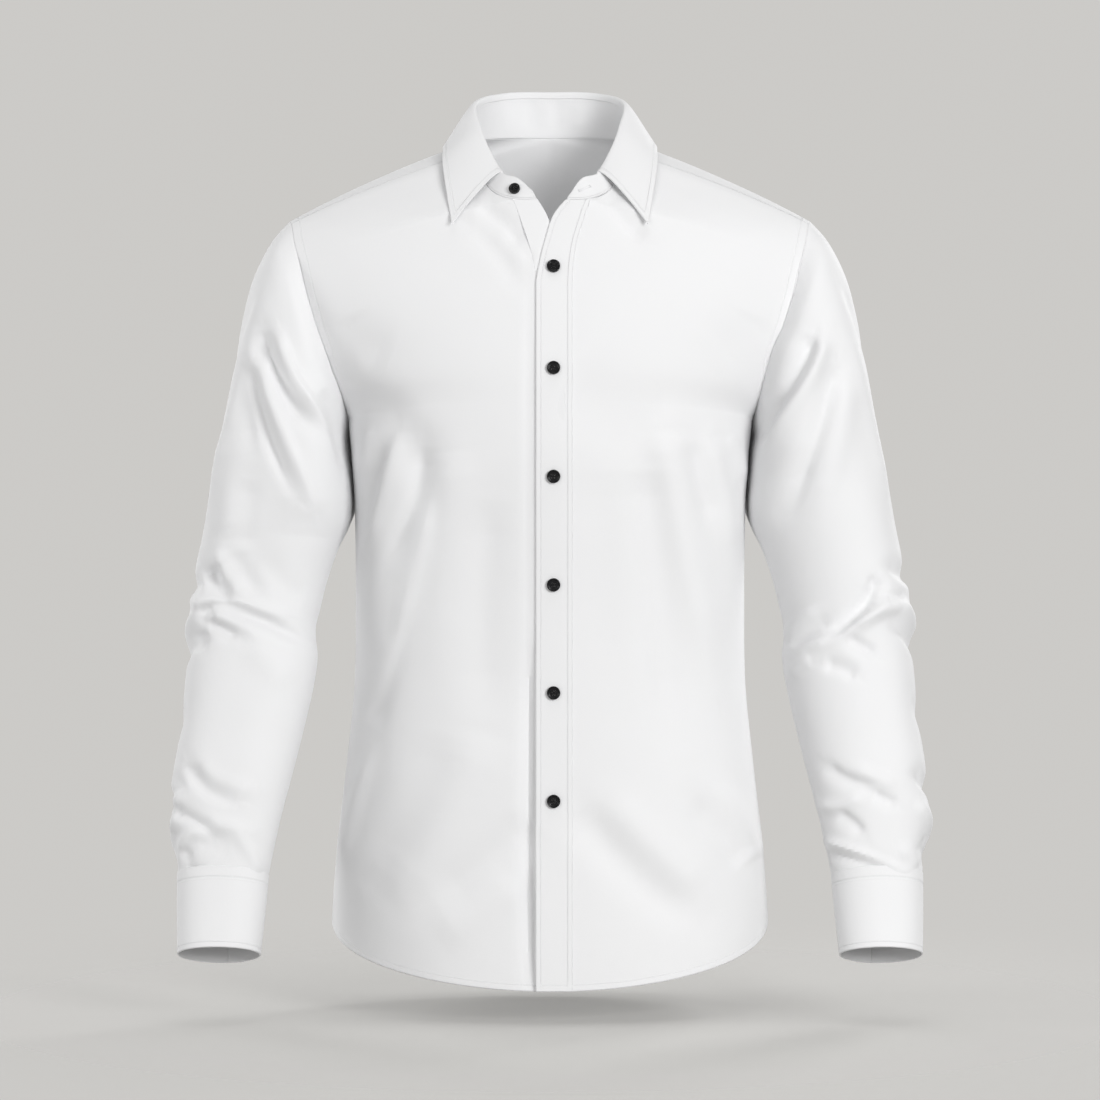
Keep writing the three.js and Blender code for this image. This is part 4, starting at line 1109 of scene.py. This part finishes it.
    def sew_slit(self, sewing: Sewing) -> None:
        """Adds the buttonhole at the wearer's left end of the stand."""
        place, facing = self.on_stand(6.0, 0.5)
        beside, _ = self.on_stand(6.2, 0.5)
        sew_slit(sewing, place, facing, beside - place, self.slit)


@dataclass
class Cuff:
    """A cuff that overlaps on the hidden side, and the sleeve placket above it.

    Args:
        right: Whether it is on the wearer's right.
        turn: Degrees from one column to the next.
        columns: The columns of its grid, from its inner end to its outer end.
        overlap: Where the outer end starts to rise, and over how many columns.
        lift: How far the outer end lies above the inner one.
        edges: From the top and the bottom edge to their stitches.
        rows: The rows of its grid, from its top to its mouth.
        slit: The buttonhole's length.
    """

    right: bool
    turn: float = 3.0
    columns: int = 128
    overlap: tuple[int, int] = (88, 32)
    lift: float = 1.9
    edges: tuple[float, float] = (10.0, 5.0)
    rows: int = 24
    slit: float = 13.0
    cloth: Cloth = field(init=False)

    @property
    def side(self) -> str:
        """The wearer's side that it is on."""
        return "right" if self.right else "left"

    def points(self, columns: Array, share: Array) -> Array:
        """Points of the cuff, from its inner end at column 0 round to its outer end.

        Args:
            columns: The places round the cuff.
            share: The places from its top at 0 to its mouth at 1.

        Returns:
            The points, by rows and columns.
        """
        lift = eased((columns - self.overlap[0]) / self.overlap[1]) * self.lift
        ring = CUFF.at(share * CUFF.last)[:, None] + lift[:, None] * np.array([1, 0, -1, 0, 0, 1, 0])
        points = ring_points(ring, -98 - columns * self.turn)
        return mirrored(points) if self.right else points

    def __post_init__(self) -> None:
        """Makes the cuff's points."""
        rows = self.points(np.arange(self.columns + 1.0), np.linspace(0, 1, self.rows + 1))
        self.cloth = Cloth([("cuff", rows, not self.right)])

    def strip(self) -> bpy.types.Object:
        """The cuff as a shell."""
        rows, _ = self.cloth.grid("cuff")
        seams = [(rows[0], self.edges[0]), (rows[-1], self.edges[1])]
        return self.cloth.shell("cuff", LINED, f"{self.side}_cuff", seams)

    def sew(self, sewing: Sewing) -> None:
        """Adds the stitches beside the cuff's edges."""
        grid = self.cloth.grid("cuff")
        sewing.along(*edge_line(*grid, Side.FIRST_ROW, self.edges[0]))
        sewing.along(*edge_line(*grid, Side.LAST_ROW, self.edges[1], (4, 4)))
        sewing.along(*edge_line(*grid, Side.LAST_COLUMN, 2, (2, 5)))

    @property
    def button_cell(self) -> tuple[int, int]:
        """The row and column of the cuff's button."""
        return self.rows // 2, self.columns - 4

    def button_place(self) -> tuple[Array, Array]:
        """Where the cuff's button sits, and which way it faces."""
        points, normals = self.cloth.grid("cuff")
        return points[self.button_cell], normals[self.button_cell]

    def sew_slit(self, sewing: Sewing) -> None:
        """Adds the level buttonhole under the cuff's button."""
        row, column = self.button_cell
        level = self.cloth.grid("cuff")[0][row]
        sew_slit(sewing, *self.button_place(), level[column + 2] - level[column - 2], self.slit)

    def sleeve_placket(self, body: Body) -> Cloth:
        """The strip on the hidden side of the sleeve, in line with the cuff's opening."""
        points, normals = body.cloth.grid(f"{self.side}_sleeve")
        columns = np.flatnonzero(np.abs(body.angles + 105) < 17)
        rows = slice(-6 * SLEEVE_ROWS - 1, -SLEEVE_ROWS)
        strip = points[rows, columns] + normals[rows, columns] * (STACK + LINED)
        return Cloth([("sleeve_placket", strip, not self.right)])


def apply_modifier(piece: bpy.types.Object, kind: str, **settings: Any) -> None:
    """Adds a modifier to a piece and applies it.

    Args:
        piece: The piece.
        kind: The modifier's type.
        settings: Its settings.
    """
    bpy.context.view_layer.objects.active = piece
    modifier = piece.modifiers.new(kind.title(), kind)
    for name, value in settings.items():
        setattr(modifier, name, value)
    bpy.ops.object.modifier_apply(modifier=modifier.name)


def turned_to(facing: Array, place: Array) -> Any:
    """The turn and move that takes the Z axis to a direction, at a place in millimetres."""
    turn = Vector(facing).to_track_quat("Z", "Y").to_matrix().to_4x4()
    turn.translation = Vector(place) * MM
    return turn


@dataclass
class Button:
    """A round button with a raised rim, four holes and the thread that holds it.

    Args:
        diameter: Its diameter in millimetres.
        height: Its whole height.
        rim: The rim's width.
        dish: The depth of its middle below the rim.
        hole: A hole's radius.
        spread: From the middle to a hole, each way, as a share of the diameter.
    """

    diameter: float
    height: float = 2.6
    rim: float = 1.1
    dish: float = 0.9
    hole: float = 0.75
    spread: float = 0.11

    def disc(self) -> bpy.types.Object:
        """The button, with its back at zero and its axis along Z."""
        deselect()
        bpy.ops.mesh.primitive_cylinder_add(
            vertices=64, radius=self.diameter / 2 * MM, depth=self.height * MM,
            location=(0, 0, self.height / 2 * MM))
        disc = bpy.context.object
        bpy.ops.object.transform_apply(location=True)
        bpy.ops.object.mode_set(mode="EDIT")
        bpy.ops.mesh.select_mode(type="FACE")
        bpy.ops.mesh.select_all(action="DESELECT")
        shape = bmesh.from_edit_mesh(disc.data)
        for face in shape.faces:
            face.select = face.normal.z > 0.9
        bmesh.update_edit_mesh(disc.data)
        bpy.ops.mesh.inset(thickness=self.rim * MM)
        bpy.ops.mesh.inset(thickness=0.5 * MM, depth=-self.dish * MM)
        bpy.ops.object.mode_set(mode="OBJECT")
        apply_modifier(disc, "BEVEL", width=0.35 * MM, segments=3, angle_limit=math.radians(30))
        self.cut_holes(disc)
        bpy.ops.object.shade_smooth_by_angle(angle=math.radians(35))
        return disc

    def cut_holes(self, disc: bpy.types.Object) -> None:
        """Cuts the four holes of a button."""
        reach = self.diameter * self.spread
        for x in (-reach, reach):
            for y in (-reach, reach):
                deselect()
                bpy.ops.mesh.primitive_cylinder_add(vertices=20, radius=self.hole * MM, depth=9 * MM,
                                                    location=(x * MM, y * MM, 0))
                drill = bpy.context.object
                deselect()
                disc.select_set(True)
                apply_modifier(disc, "BOOLEAN", operation="DIFFERENCE", object=drill, solver="EXACT")
                bpy.data.objects.remove(drill)

    def thread(self) -> bpy.types.Object:
        """The two pairs of thread that run through the holes."""
        reach = self.diameter * self.spread
        floor = self.height - self.dish
        deselect()
        loops = []
        for y in (-reach, reach):
            for beside in (-0.2, 0.2):
                bpy.ops.mesh.primitive_torus_add(major_segments=28, minor_segments=8, major_radius=reach * MM,
                                                 minor_radius=0.2 * MM, rotation=(math.pi / 2, 0, 0))
                loop = bpy.context.object
                loop.scale = (1, 0.42, 1)
                loop.location = (0, (y + beside) * MM, floor * MM)
                loops.append(loop)
        for loop in loops:
            loop.select_set(True)
        bpy.ops.object.join()
        bpy.ops.object.transform_apply()
        bpy.ops.object.mode_set(mode="EDIT")
        bpy.ops.mesh.select_all(action="SELECT")
        bpy.ops.mesh.bisect(plane_co=(0, 0, (floor - 0.35) * MM), plane_no=(0, 0, 1), clear_inner=True,
                            use_fill=True)
        bpy.ops.object.mode_set(mode="OBJECT")
        bpy.ops.object.shade_smooth_by_angle(angle=math.radians(50))
        return bpy.context.object


@dataclass
class Buttons:
    """All the buttons of one size, each copied from one model.

    Args:
        diameter: Their diameter in millimetres.
        seat: How far their back is above the cloth.
    """

    diameter: float
    seat: float = 0.3

    def place(self, spots: dict[str, tuple[Array, Array]]) -> dict[str, list[bpy.types.Object]]:
        """Makes a button and its thread at each place.

        Args:
            spots: Each button's name with its place and the way that it faces.

        Returns:
            The two pieces of each button by its name.
        """
        model = Button(self.diameter)
        parts = {"disc": model.disc(), "thread": model.thread()}
        made: dict[str, list[bpy.types.Object]] = {}
        for name, (place, facing) in spots.items():
            move = turned_to(facing, place + facing * self.seat)
            for kind, part in parts.items():
                mesh = part.data.copy()
                mesh.transform(move)
                made.setdefault(name, []).append(linked(f"{name}_{kind}", mesh))
        for part in parts.values():
            bpy.data.objects.remove(part)
        return made


class Socket:
    """A value in a material's nodes, with arithmetic that adds the nodes it needs."""

    def __init__(self, nodes: "Nodes", output: Any) -> None:
        """Wraps a node's output."""
        self.nodes = nodes
        self.output = output

    def math(self, operation: str, *others: Any) -> "Socket":
        """The result of a Math node on this value and others."""
        values = dict(enumerate((self, *others)))
        return self.nodes.add("ShaderNodeMath", {"operation": operation}, values)

    def __add__(self, other: Any) -> "Socket":
        """The sum."""
        return self.math("ADD", other)

    def __sub__(self, other: Any) -> "Socket":
        """The difference."""
        return self.math("SUBTRACT", other)

    def __rsub__(self, other: Any) -> "Socket":
        """The difference the other way round."""
        return self.nodes.add("ShaderNodeMath", {"operation": "SUBTRACT"}, {0: other, 1: self})

    def __mul__(self, other: Any) -> "Socket":
        """The product."""
        return self.math("MULTIPLY", other)

    __radd__ = __add__
    __rmul__ = __mul__

    def between(self, low: float, high: float) -> "Socket":
        """A smooth rise from 0 to 1 while the value goes from low to high."""
        return self.nodes.add("ShaderNodeMapRange", {"interpolation_type": "SMOOTHSTEP"},
                              {"Value": self, "From Min": low, "From Max": high})

    def hump(self, middle: float, width: float) -> "Socket":
        """1 at a middle value, falling smoothly to 0 on both sides."""
        return 1 - (self - middle).math("ABSOLUTE").between(0, width)


class Nodes:
    """The nodes of one new material."""

    def __init__(self, name: str) -> None:
        """Makes the material, with its shader."""
        self.material = bpy.data.materials.new(name)
        self.material.use_nodes = True
        self.tree = self.material.node_tree
        self.shader = self.tree.nodes["Principled BSDF"]

    def add(self, kind: str, settings: dict[str, Any], values: dict[Any, Any], output: Any = 0) -> Socket:
        """Adds a node.

        Args:
            kind: The node's type.
            settings: Its settings.
            values: The numbers or sockets of its inputs.
            output: Which output is wanted.

        Returns:
            The output.
        """
        node = self.tree.nodes.new(kind)
        for name, value in settings.items():
            setattr(node, name, value)
        for name, value in values.items():
            self.feed(node.inputs[name], value)
        return Socket(self, node.outputs[output])

    def feed(self, entry: Any, value: Any) -> None:
        """Links a socket to an input, or sets its number."""
        if isinstance(value, Socket):
            self.tree.links.new(value.output, entry)
        else:
            entry.default_value = value

    def noise(self, place: Socket, scale: float, detail: float = 2, roughness: float = 0.5) -> Socket:
        """Smooth noise from 0 to 1 at a place."""
        return self.add("ShaderNodeTexNoise", {},
                        {"Vector": place, "Scale": scale, "Detail": detail, "Roughness": roughness})

    def mix(self, share: Socket, low: tuple[float, ...], high: tuple[float, ...]) -> Socket:
        """A colour between two, by a share from 0 to 1."""
        return self.add("ShaderNodeMix", {"data_type": "RGBA"}, {0: share, 6: low, 7: high}, 2)

    def bump(self, height: Socket) -> Socket:
        """The direction of a surface with a height in millimetres."""
        return self.add("ShaderNodeBump", {}, {"Height": height, "Distance": MM, "Strength": 1.0})

    def dress(self, **values: Any) -> bpy.types.Material:
        """Sets the shader's inputs, by their names with _ for a space, and returns the material."""
        for name, value in values.items():
            self.feed(self.shader.inputs[name.replace("_", " ")], value)
        return self.material


@dataclass(frozen=True)
class Poplin:
    """Fine white cotton poplin.

    Args:
        name: The material's name.
        light: The colour of the raised threads.
        dark: The colour between them.
        thread: From one thread to the next in millimetres.
        ripple: The height of the cloth's faint unevenness in millimetres.
        welt: The height of a welt in millimetres.
        seam: The depth of the line along a seam in millimetres.
    """

    name: str
    light: tuple[float, ...] = (0.85, 0.851, 0.857, 1)
    dark: tuple[float, ...] = (0.77, 0.772, 0.78, 1)
    thread: float = 0.34
    ripple: float = 0.35
    welt: float = 0.3
    seam: float = 0.3

    def make(self) -> bpy.types.Material:
        """The material."""
        nodes = Nodes(self.name)
        place = nodes.add("ShaderNodeUVMap", {"uv_map": "Cloth"}, {})
        u = nodes.add("ShaderNodeSeparateXYZ", {}, {"Vector": place}, "X")
        v = nodes.add("ShaderNodeSeparateXYZ", {}, {"Vector": place}, "Y")
        turn = math.pi / self.thread
        weave = (u * turn).math("SINE") * (v * turn).math("SINE") * 0.5 + 0.5
        uneven = nodes.noise(place, 0.9, 3, 0.65)
        cloudy = nodes.noise(place, 0.02, 2)
        welt = nodes.add("ShaderNodeAttribute", {"attribute_name": "Welt"}, {}, "Fac")
        pucker = nodes.noise(place, 0.16, 1)
        beside = 1 - welt.between(1.0, 1.25)
        height = weave * 0.025 + uneven * 0.02 + cloudy * self.ripple
        height = height + nodes.noise(place, 0.06, 2) * (self.ripple * 0.25)
        height = height + beside * self.welt + beside * pucker * 0.22
        height = height - welt.hump(1.0, 0.18) * 0.42 - welt.hump(0, 0.12) * self.seam
        shade = weave * 0.45 + uneven * 0.4 + cloudy * 0.15
        return nodes.dress(
            Base_Color=nodes.mix(shade, self.dark, self.light),
            Roughness=0.86 - weave * 0.08 - uneven * 0.1,
            Normal=nodes.bump(height),
            Specular_IOR_Level=0.3,
            Sheen_Weight=0.25,
            Sheen_Roughness=0.35,
        )


@dataclass(frozen=True)
class Thread:
    """Sewing thread.

    Args:
        name: The material's name.
        light: The colour of a strand.
        dark: The colour between strands.
        roughness: The middle of its roughness.
    """

    name: str
    light: tuple[float, ...] = (0.86, 0.862, 0.87, 1)
    dark: tuple[float, ...] = (0.7, 0.705, 0.72, 1)
    roughness: float = 0.6

    def make(self) -> bpy.types.Material:
        """The material."""
        nodes = Nodes(self.name)
        place = nodes.add("ShaderNodeTexCoord", {}, {}, "Object")
        strand = nodes.noise(place, 2600, 1)
        return nodes.dress(
            Base_Color=nodes.mix(strand, self.dark, self.light),
            Roughness=self.roughness + strand * 0.15,
            Normal=nodes.bump(strand * 0.05),
            Specular_IOR_Level=0.35,
        )


@dataclass(frozen=True)
class Resin:
    """Glossy black button resin.

    Args:
        name: The material's name.
        deep: The darkest colour.
        pale: The palest colour of its faint cloudiness.
    """

    name: str
    deep: tuple[float, ...] = (0.004, 0.004, 0.0045, 1)
    pale: tuple[float, ...] = (0.012, 0.012, 0.013, 1)

    def make(self) -> bpy.types.Material:
        """The material."""
        nodes = Nodes(self.name)
        place = nodes.add("ShaderNodeTexCoord", {}, {}, "Object")
        cloud = nodes.noise(place, 320, 3)
        wear = nodes.noise(place, 1500, 2)
        return nodes.dress(
            Base_Color=nodes.mix(cloud, self.deep, self.pale),
            Roughness=0.14 + cloud * 0.1 + wear * 0.06,
            Normal=nodes.bump(cloud * 0.02 + wear * 0.006),
            Specular_IOR_Level=0.25,
            Coat_Weight=0.15,
            Coat_Roughness=0.08,
        )


@dataclass
class Studio:
    """The pale floor, soft lights and camera.

    Args:
        floor: The floor's height in metres.
        distance: From the camera to the body's middle.
        width: How much the picture shows at the body's middle.
        reach: The floor's radius.
        sensor: The camera's sensor width in millimetres.
    """

    floor: float = -0.746
    distance: float = 3.2
    width: float = 0.968
    reach: float = 1.25
    sensor: float = 36

    def lay_floor(self) -> bpy.types.Object:
        """A round floor that fades into the background at its edge."""
        deselect()
        bpy.ops.mesh.primitive_circle_add(vertices=96, radius=self.reach, fill_type="NGON",
                                          location=(0, 0, self.floor))
        floor = bpy.context.object
        floor.name = "floor"
        bpy.ops.object.transform_apply()
        nodes = Nodes("studio_floor")
        place = nodes.add("ShaderNodeTexCoord", {}, {}, "Object")
        flat = nodes.add("ShaderNodeVectorMath", {"operation": "MULTIPLY"}, {0: place, 1: (1, 1, 0)})
        away = nodes.add("ShaderNodeVectorMath", {"operation": "LENGTH"}, {0: flat}, "Value")
        grain = nodes.noise(place, 9, 2)
        floor.data.materials.append(nodes.dress(
            Base_Color=nodes.mix(grain, (0.6, 0.592, 0.576, 1), (0.62, 0.612, 0.596, 1)),
            Roughness=0.95,
            Alpha=0.6 - away.between(0.2, self.reach * 0.7) * 0.6,
            Specular_IOR_Level=0.1,
        ))
        return floor

    def light(self, name: str, place: tuple[float, float, float], size: float, power: float,
              aim_at: tuple[float, float, float] = (0, 0, MIDDLE)) -> None:
        """Adds a soft square light.

        Args:
            name: Its name.
            place: Where it stands.
            size: The side of its square.
            power: Its power in watts.
            aim_at: What it looks at.
        """
        lamp = bpy.data.lights.new(name, "AREA")
        lamp.size = size
        lamp.energy = power
        holder = linked(name, lamp)
        holder.location = place
        aim = Vector(aim_at) - Vector(place)
        holder.rotation_euler = aim.to_track_quat("-Z", "Y").to_euler()

    def light_all(self) -> None:
        """The lights in front, above, beside, behind and inside, and the pale surroundings."""
        self.light("key", (1.6, -2.65, 0.35), 1.2, 64)
        self.light("fill", (-1.4, -2.9, 0.1), 1.1, 16)
        self.light("top", (0.1, -0.3, 2.0), 1.4, 9)
        self.light("side", (-2.4, -0.2, 0.1), 0.8, 16)
        self.light("rim_left", (-1.6, 1.8, 0.3), 0.8, 16)
        self.light("rim_right", (1.5, 1.95, 0.5), 0.8, 31)
        self.light("inner", (0, -0.03, -0.15), 0.1, 0.06, (0.02, 0.08, 0.02))
        world = bpy.data.worlds.new("surroundings")
        world.use_nodes = True
        tree = world.node_tree
        seen = tree.nodes.new("ShaderNodeLightPath")
        shade = tree.nodes.new("ShaderNodeMix")
        shade.data_type = "RGBA"
        shade.inputs[6].default_value = (0.31, 0.308, 0.304, 1)
        shade.inputs[7].default_value = (0.604, 0.594, 0.575, 1)
        tree.links.new(seen.outputs["Is Camera Ray"], shade.inputs[0])
        tree.links.new(shade.outputs[2], tree.nodes["Background"].inputs["Color"])
        bpy.context.scene.world = world

    def stand_camera(self) -> None:
        """The camera, level and straight in front."""
        lens = bpy.data.cameras.new("camera")
        lens.sensor_width = self.sensor
        lens.lens = self.sensor * self.distance / self.width
        camera = linked("camera", lens)
        camera.location = (0, -self.distance, MIDDLE)
        camera.rotation_euler = (math.pi / 2, 0, 0)
        bpy.context.scene.camera = camera

    def set_up(self) -> None:
        """Everything round the shirt."""
        self.lay_floor()
        self.light_all()
        self.stand_camera()
        bpy.context.scene.view_settings.view_transform = "Standard"


@dataclass(frozen=True)
class Cut:
    """How a piece of cloth was cut before it was sewn.

    Args:
        size: The width and length of the cut in metres; not used.
        area: Its area in square metres; not used.
        rests_on: What it is sewn to; not used.
    """

    size: tuple[float, float]
    area: float
    rests_on: tuple[str, ...]


class Shirt:
    """The whole shirt: its cloth, sewing and buttons."""

    def __init__(self) -> None:
        """Makes the finishes and the cloth's forms."""
        self.poplin = Poplin("white_poplin").make()
        self.lined = Poplin("white_lined_poplin", ripple=0.12, welt=0.22, seam=0.08).make()
        self.sewing_thread = Thread("white_sewing_thread").make()
        self.button_thread = Thread("black_button_thread", (0.03, 0.03, 0.03, 1),
                                    (0.008, 0.008, 0.008, 1)).make()
        self.resin = Resin("black_button_resin").make()
        self.body = Body()
        self.placket = Placket()
        self.collar = Collar()
        self.cuffs = [Cuff(False), Cuff(True)]
        self.made: dict[str, bpy.types.Object] = {}

    def settle(self, piece: bpy.types.Object, finish: bpy.types.Material, slot: str, *nodes: str) -> None:
        """Gives a piece its finish and its place on the body.

        Args:
            piece: The piece.
            finish: Its material.
            slot: The record's slot for its finish; not used.
            nodes: What it stands for.
        """
        piece.data.materials.clear()
        piece.data.materials.append(finish)
        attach(piece, "root")
        if nodes:
            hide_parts(*nodes)
        log.info("%s: %d faces", piece.name, len(piece.data.polygons))

    def lay(self, key: str, piece: bpy.types.Object, lined: bool, node: str) -> None:
        """Keeps a piece of cloth that stands for a node."""
        self.settle(piece, self.lined if lined else self.poplin, "lined_poplin" if lined else "poplin", node)
        piece.name = f"cloth_{key}"
        self.made[key] = piece

    def make_cloth(self) -> None:
        """All the pieces of cloth."""
        nodes = {"left_front": "front_left", "right_front": "front_right", "left_sleeve": "sleeve_left",
                 "right_sleeve": "sleeve_right"}
        for name, piece in self.body.panels().items():
            self.lay(name, piece, False, nodes.get(name, name))
        self.lay("placket", self.placket.strip(), True, "placket")
        for name, piece in self.collar.pieces().items():
            self.lay(name, piece, True, f"collar_{name}")
        for cuff in self.cuffs:
            self.lay(f"{cuff.side}_cuff", cuff.strip(), True, f"cuff_{cuff.side}")
            strip = cuff.sleeve_placket(self.body).shell("sleeve_placket", CLOTH, "sleeve_placket", [])
            self.lay(f"{cuff.side}_sleeve_placket", strip, False, f"sleeve_placket_{cuff.side}")

    def sew(self) -> dict[str, list[bpy.types.Object]]:
        """All the stitches.

        Returns:
            The pieces of stitching by the piece of cloth that they are on.
        """
        lines = {name: Sewing(f"stitches_{name}", **STITCH)
                 for name in ("body", "placket", "collar", "left_cuff", "right_cuff")}
        self.body.sew(lines["body"])
        self.placket.sew(lines["placket"])
        self.collar.sew(lines["collar"])
        for cuff in self.cuffs:
            cuff.sew(lines[f"{cuff.side}_cuff"])
        slits = {name: Sewing(f"buttonholes_{name}", **BUTTONHOLE_STITCH)
                 for name in ("placket", "collar", "left_cuff", "right_cuff")}
        self.placket.sew_slits(slits["placket"])
        self.collar.sew_slit(slits["collar"])
        for cuff in self.cuffs:
            cuff.sew_slit(slits[f"{cuff.side}_cuff"])
        sewn: dict[str, list[bpy.types.Object]] = {}
        for group in (lines, slits):
            for name, sewing in group.items():
                piece = sewing.make()
                self.settle(piece, self.sewing_thread, "poplin")
                sewn.setdefault(name, []).append(piece)
        return sewn

    def button_up(self) -> dict[str, list[bpy.types.Object]]:
        """All the buttons with their thread, by the piece of cloth that they are on."""
        front = {f"button_front_{i + 1}": spot for i, spot in enumerate(self.placket.button_places())}
        cuffs = {f"button_cuff_{cuff.side}": cuff.button_place() for cuff in self.cuffs}
        made = Buttons(BUTTON).place({**front, **cuffs})
        made |= Buttons(COLLAR_BUTTON).place({"button_collar": self.collar.button_place()})
        for name, (disc, thread) in made.items():
            kind, _, which = name.removeprefix("button_").partition("_")
            node = f"{kind}_button_{which}" if which else "collar_button"
            self.settle(disc, self.resin, "button", node)
            self.settle(thread, self.button_thread, "button")
        return {
            "placket": [piece for name in front for piece in made[name]],
            "stand": made["button_collar"],
            "left_cuff": made["button_cuff_left"],
            "right_cuff": made["button_cuff_right"],
        }

    def build(self) -> None:
        """Makes every piece."""
        self.make_cloth()
        sewn = self.sew()
        on_cloth = {"back": sewn["body"], "leaf": sewn["collar"], "placket": sewn["placket"],
                    "left_cuff": sewn["left_cuff"], "right_cuff": sewn["right_cuff"]}
        for name, pieces in self.button_up().items():
            on_cloth.setdefault(name, []).extend(pieces)


def main() -> None:
    """Builds the studio and the shirt."""
    logging.basicConfig(level=logging.INFO, format="%(name)s: %(message)s")
    Studio().set_up()
    Shirt().build()


if __name__ == "__main__":
    main()
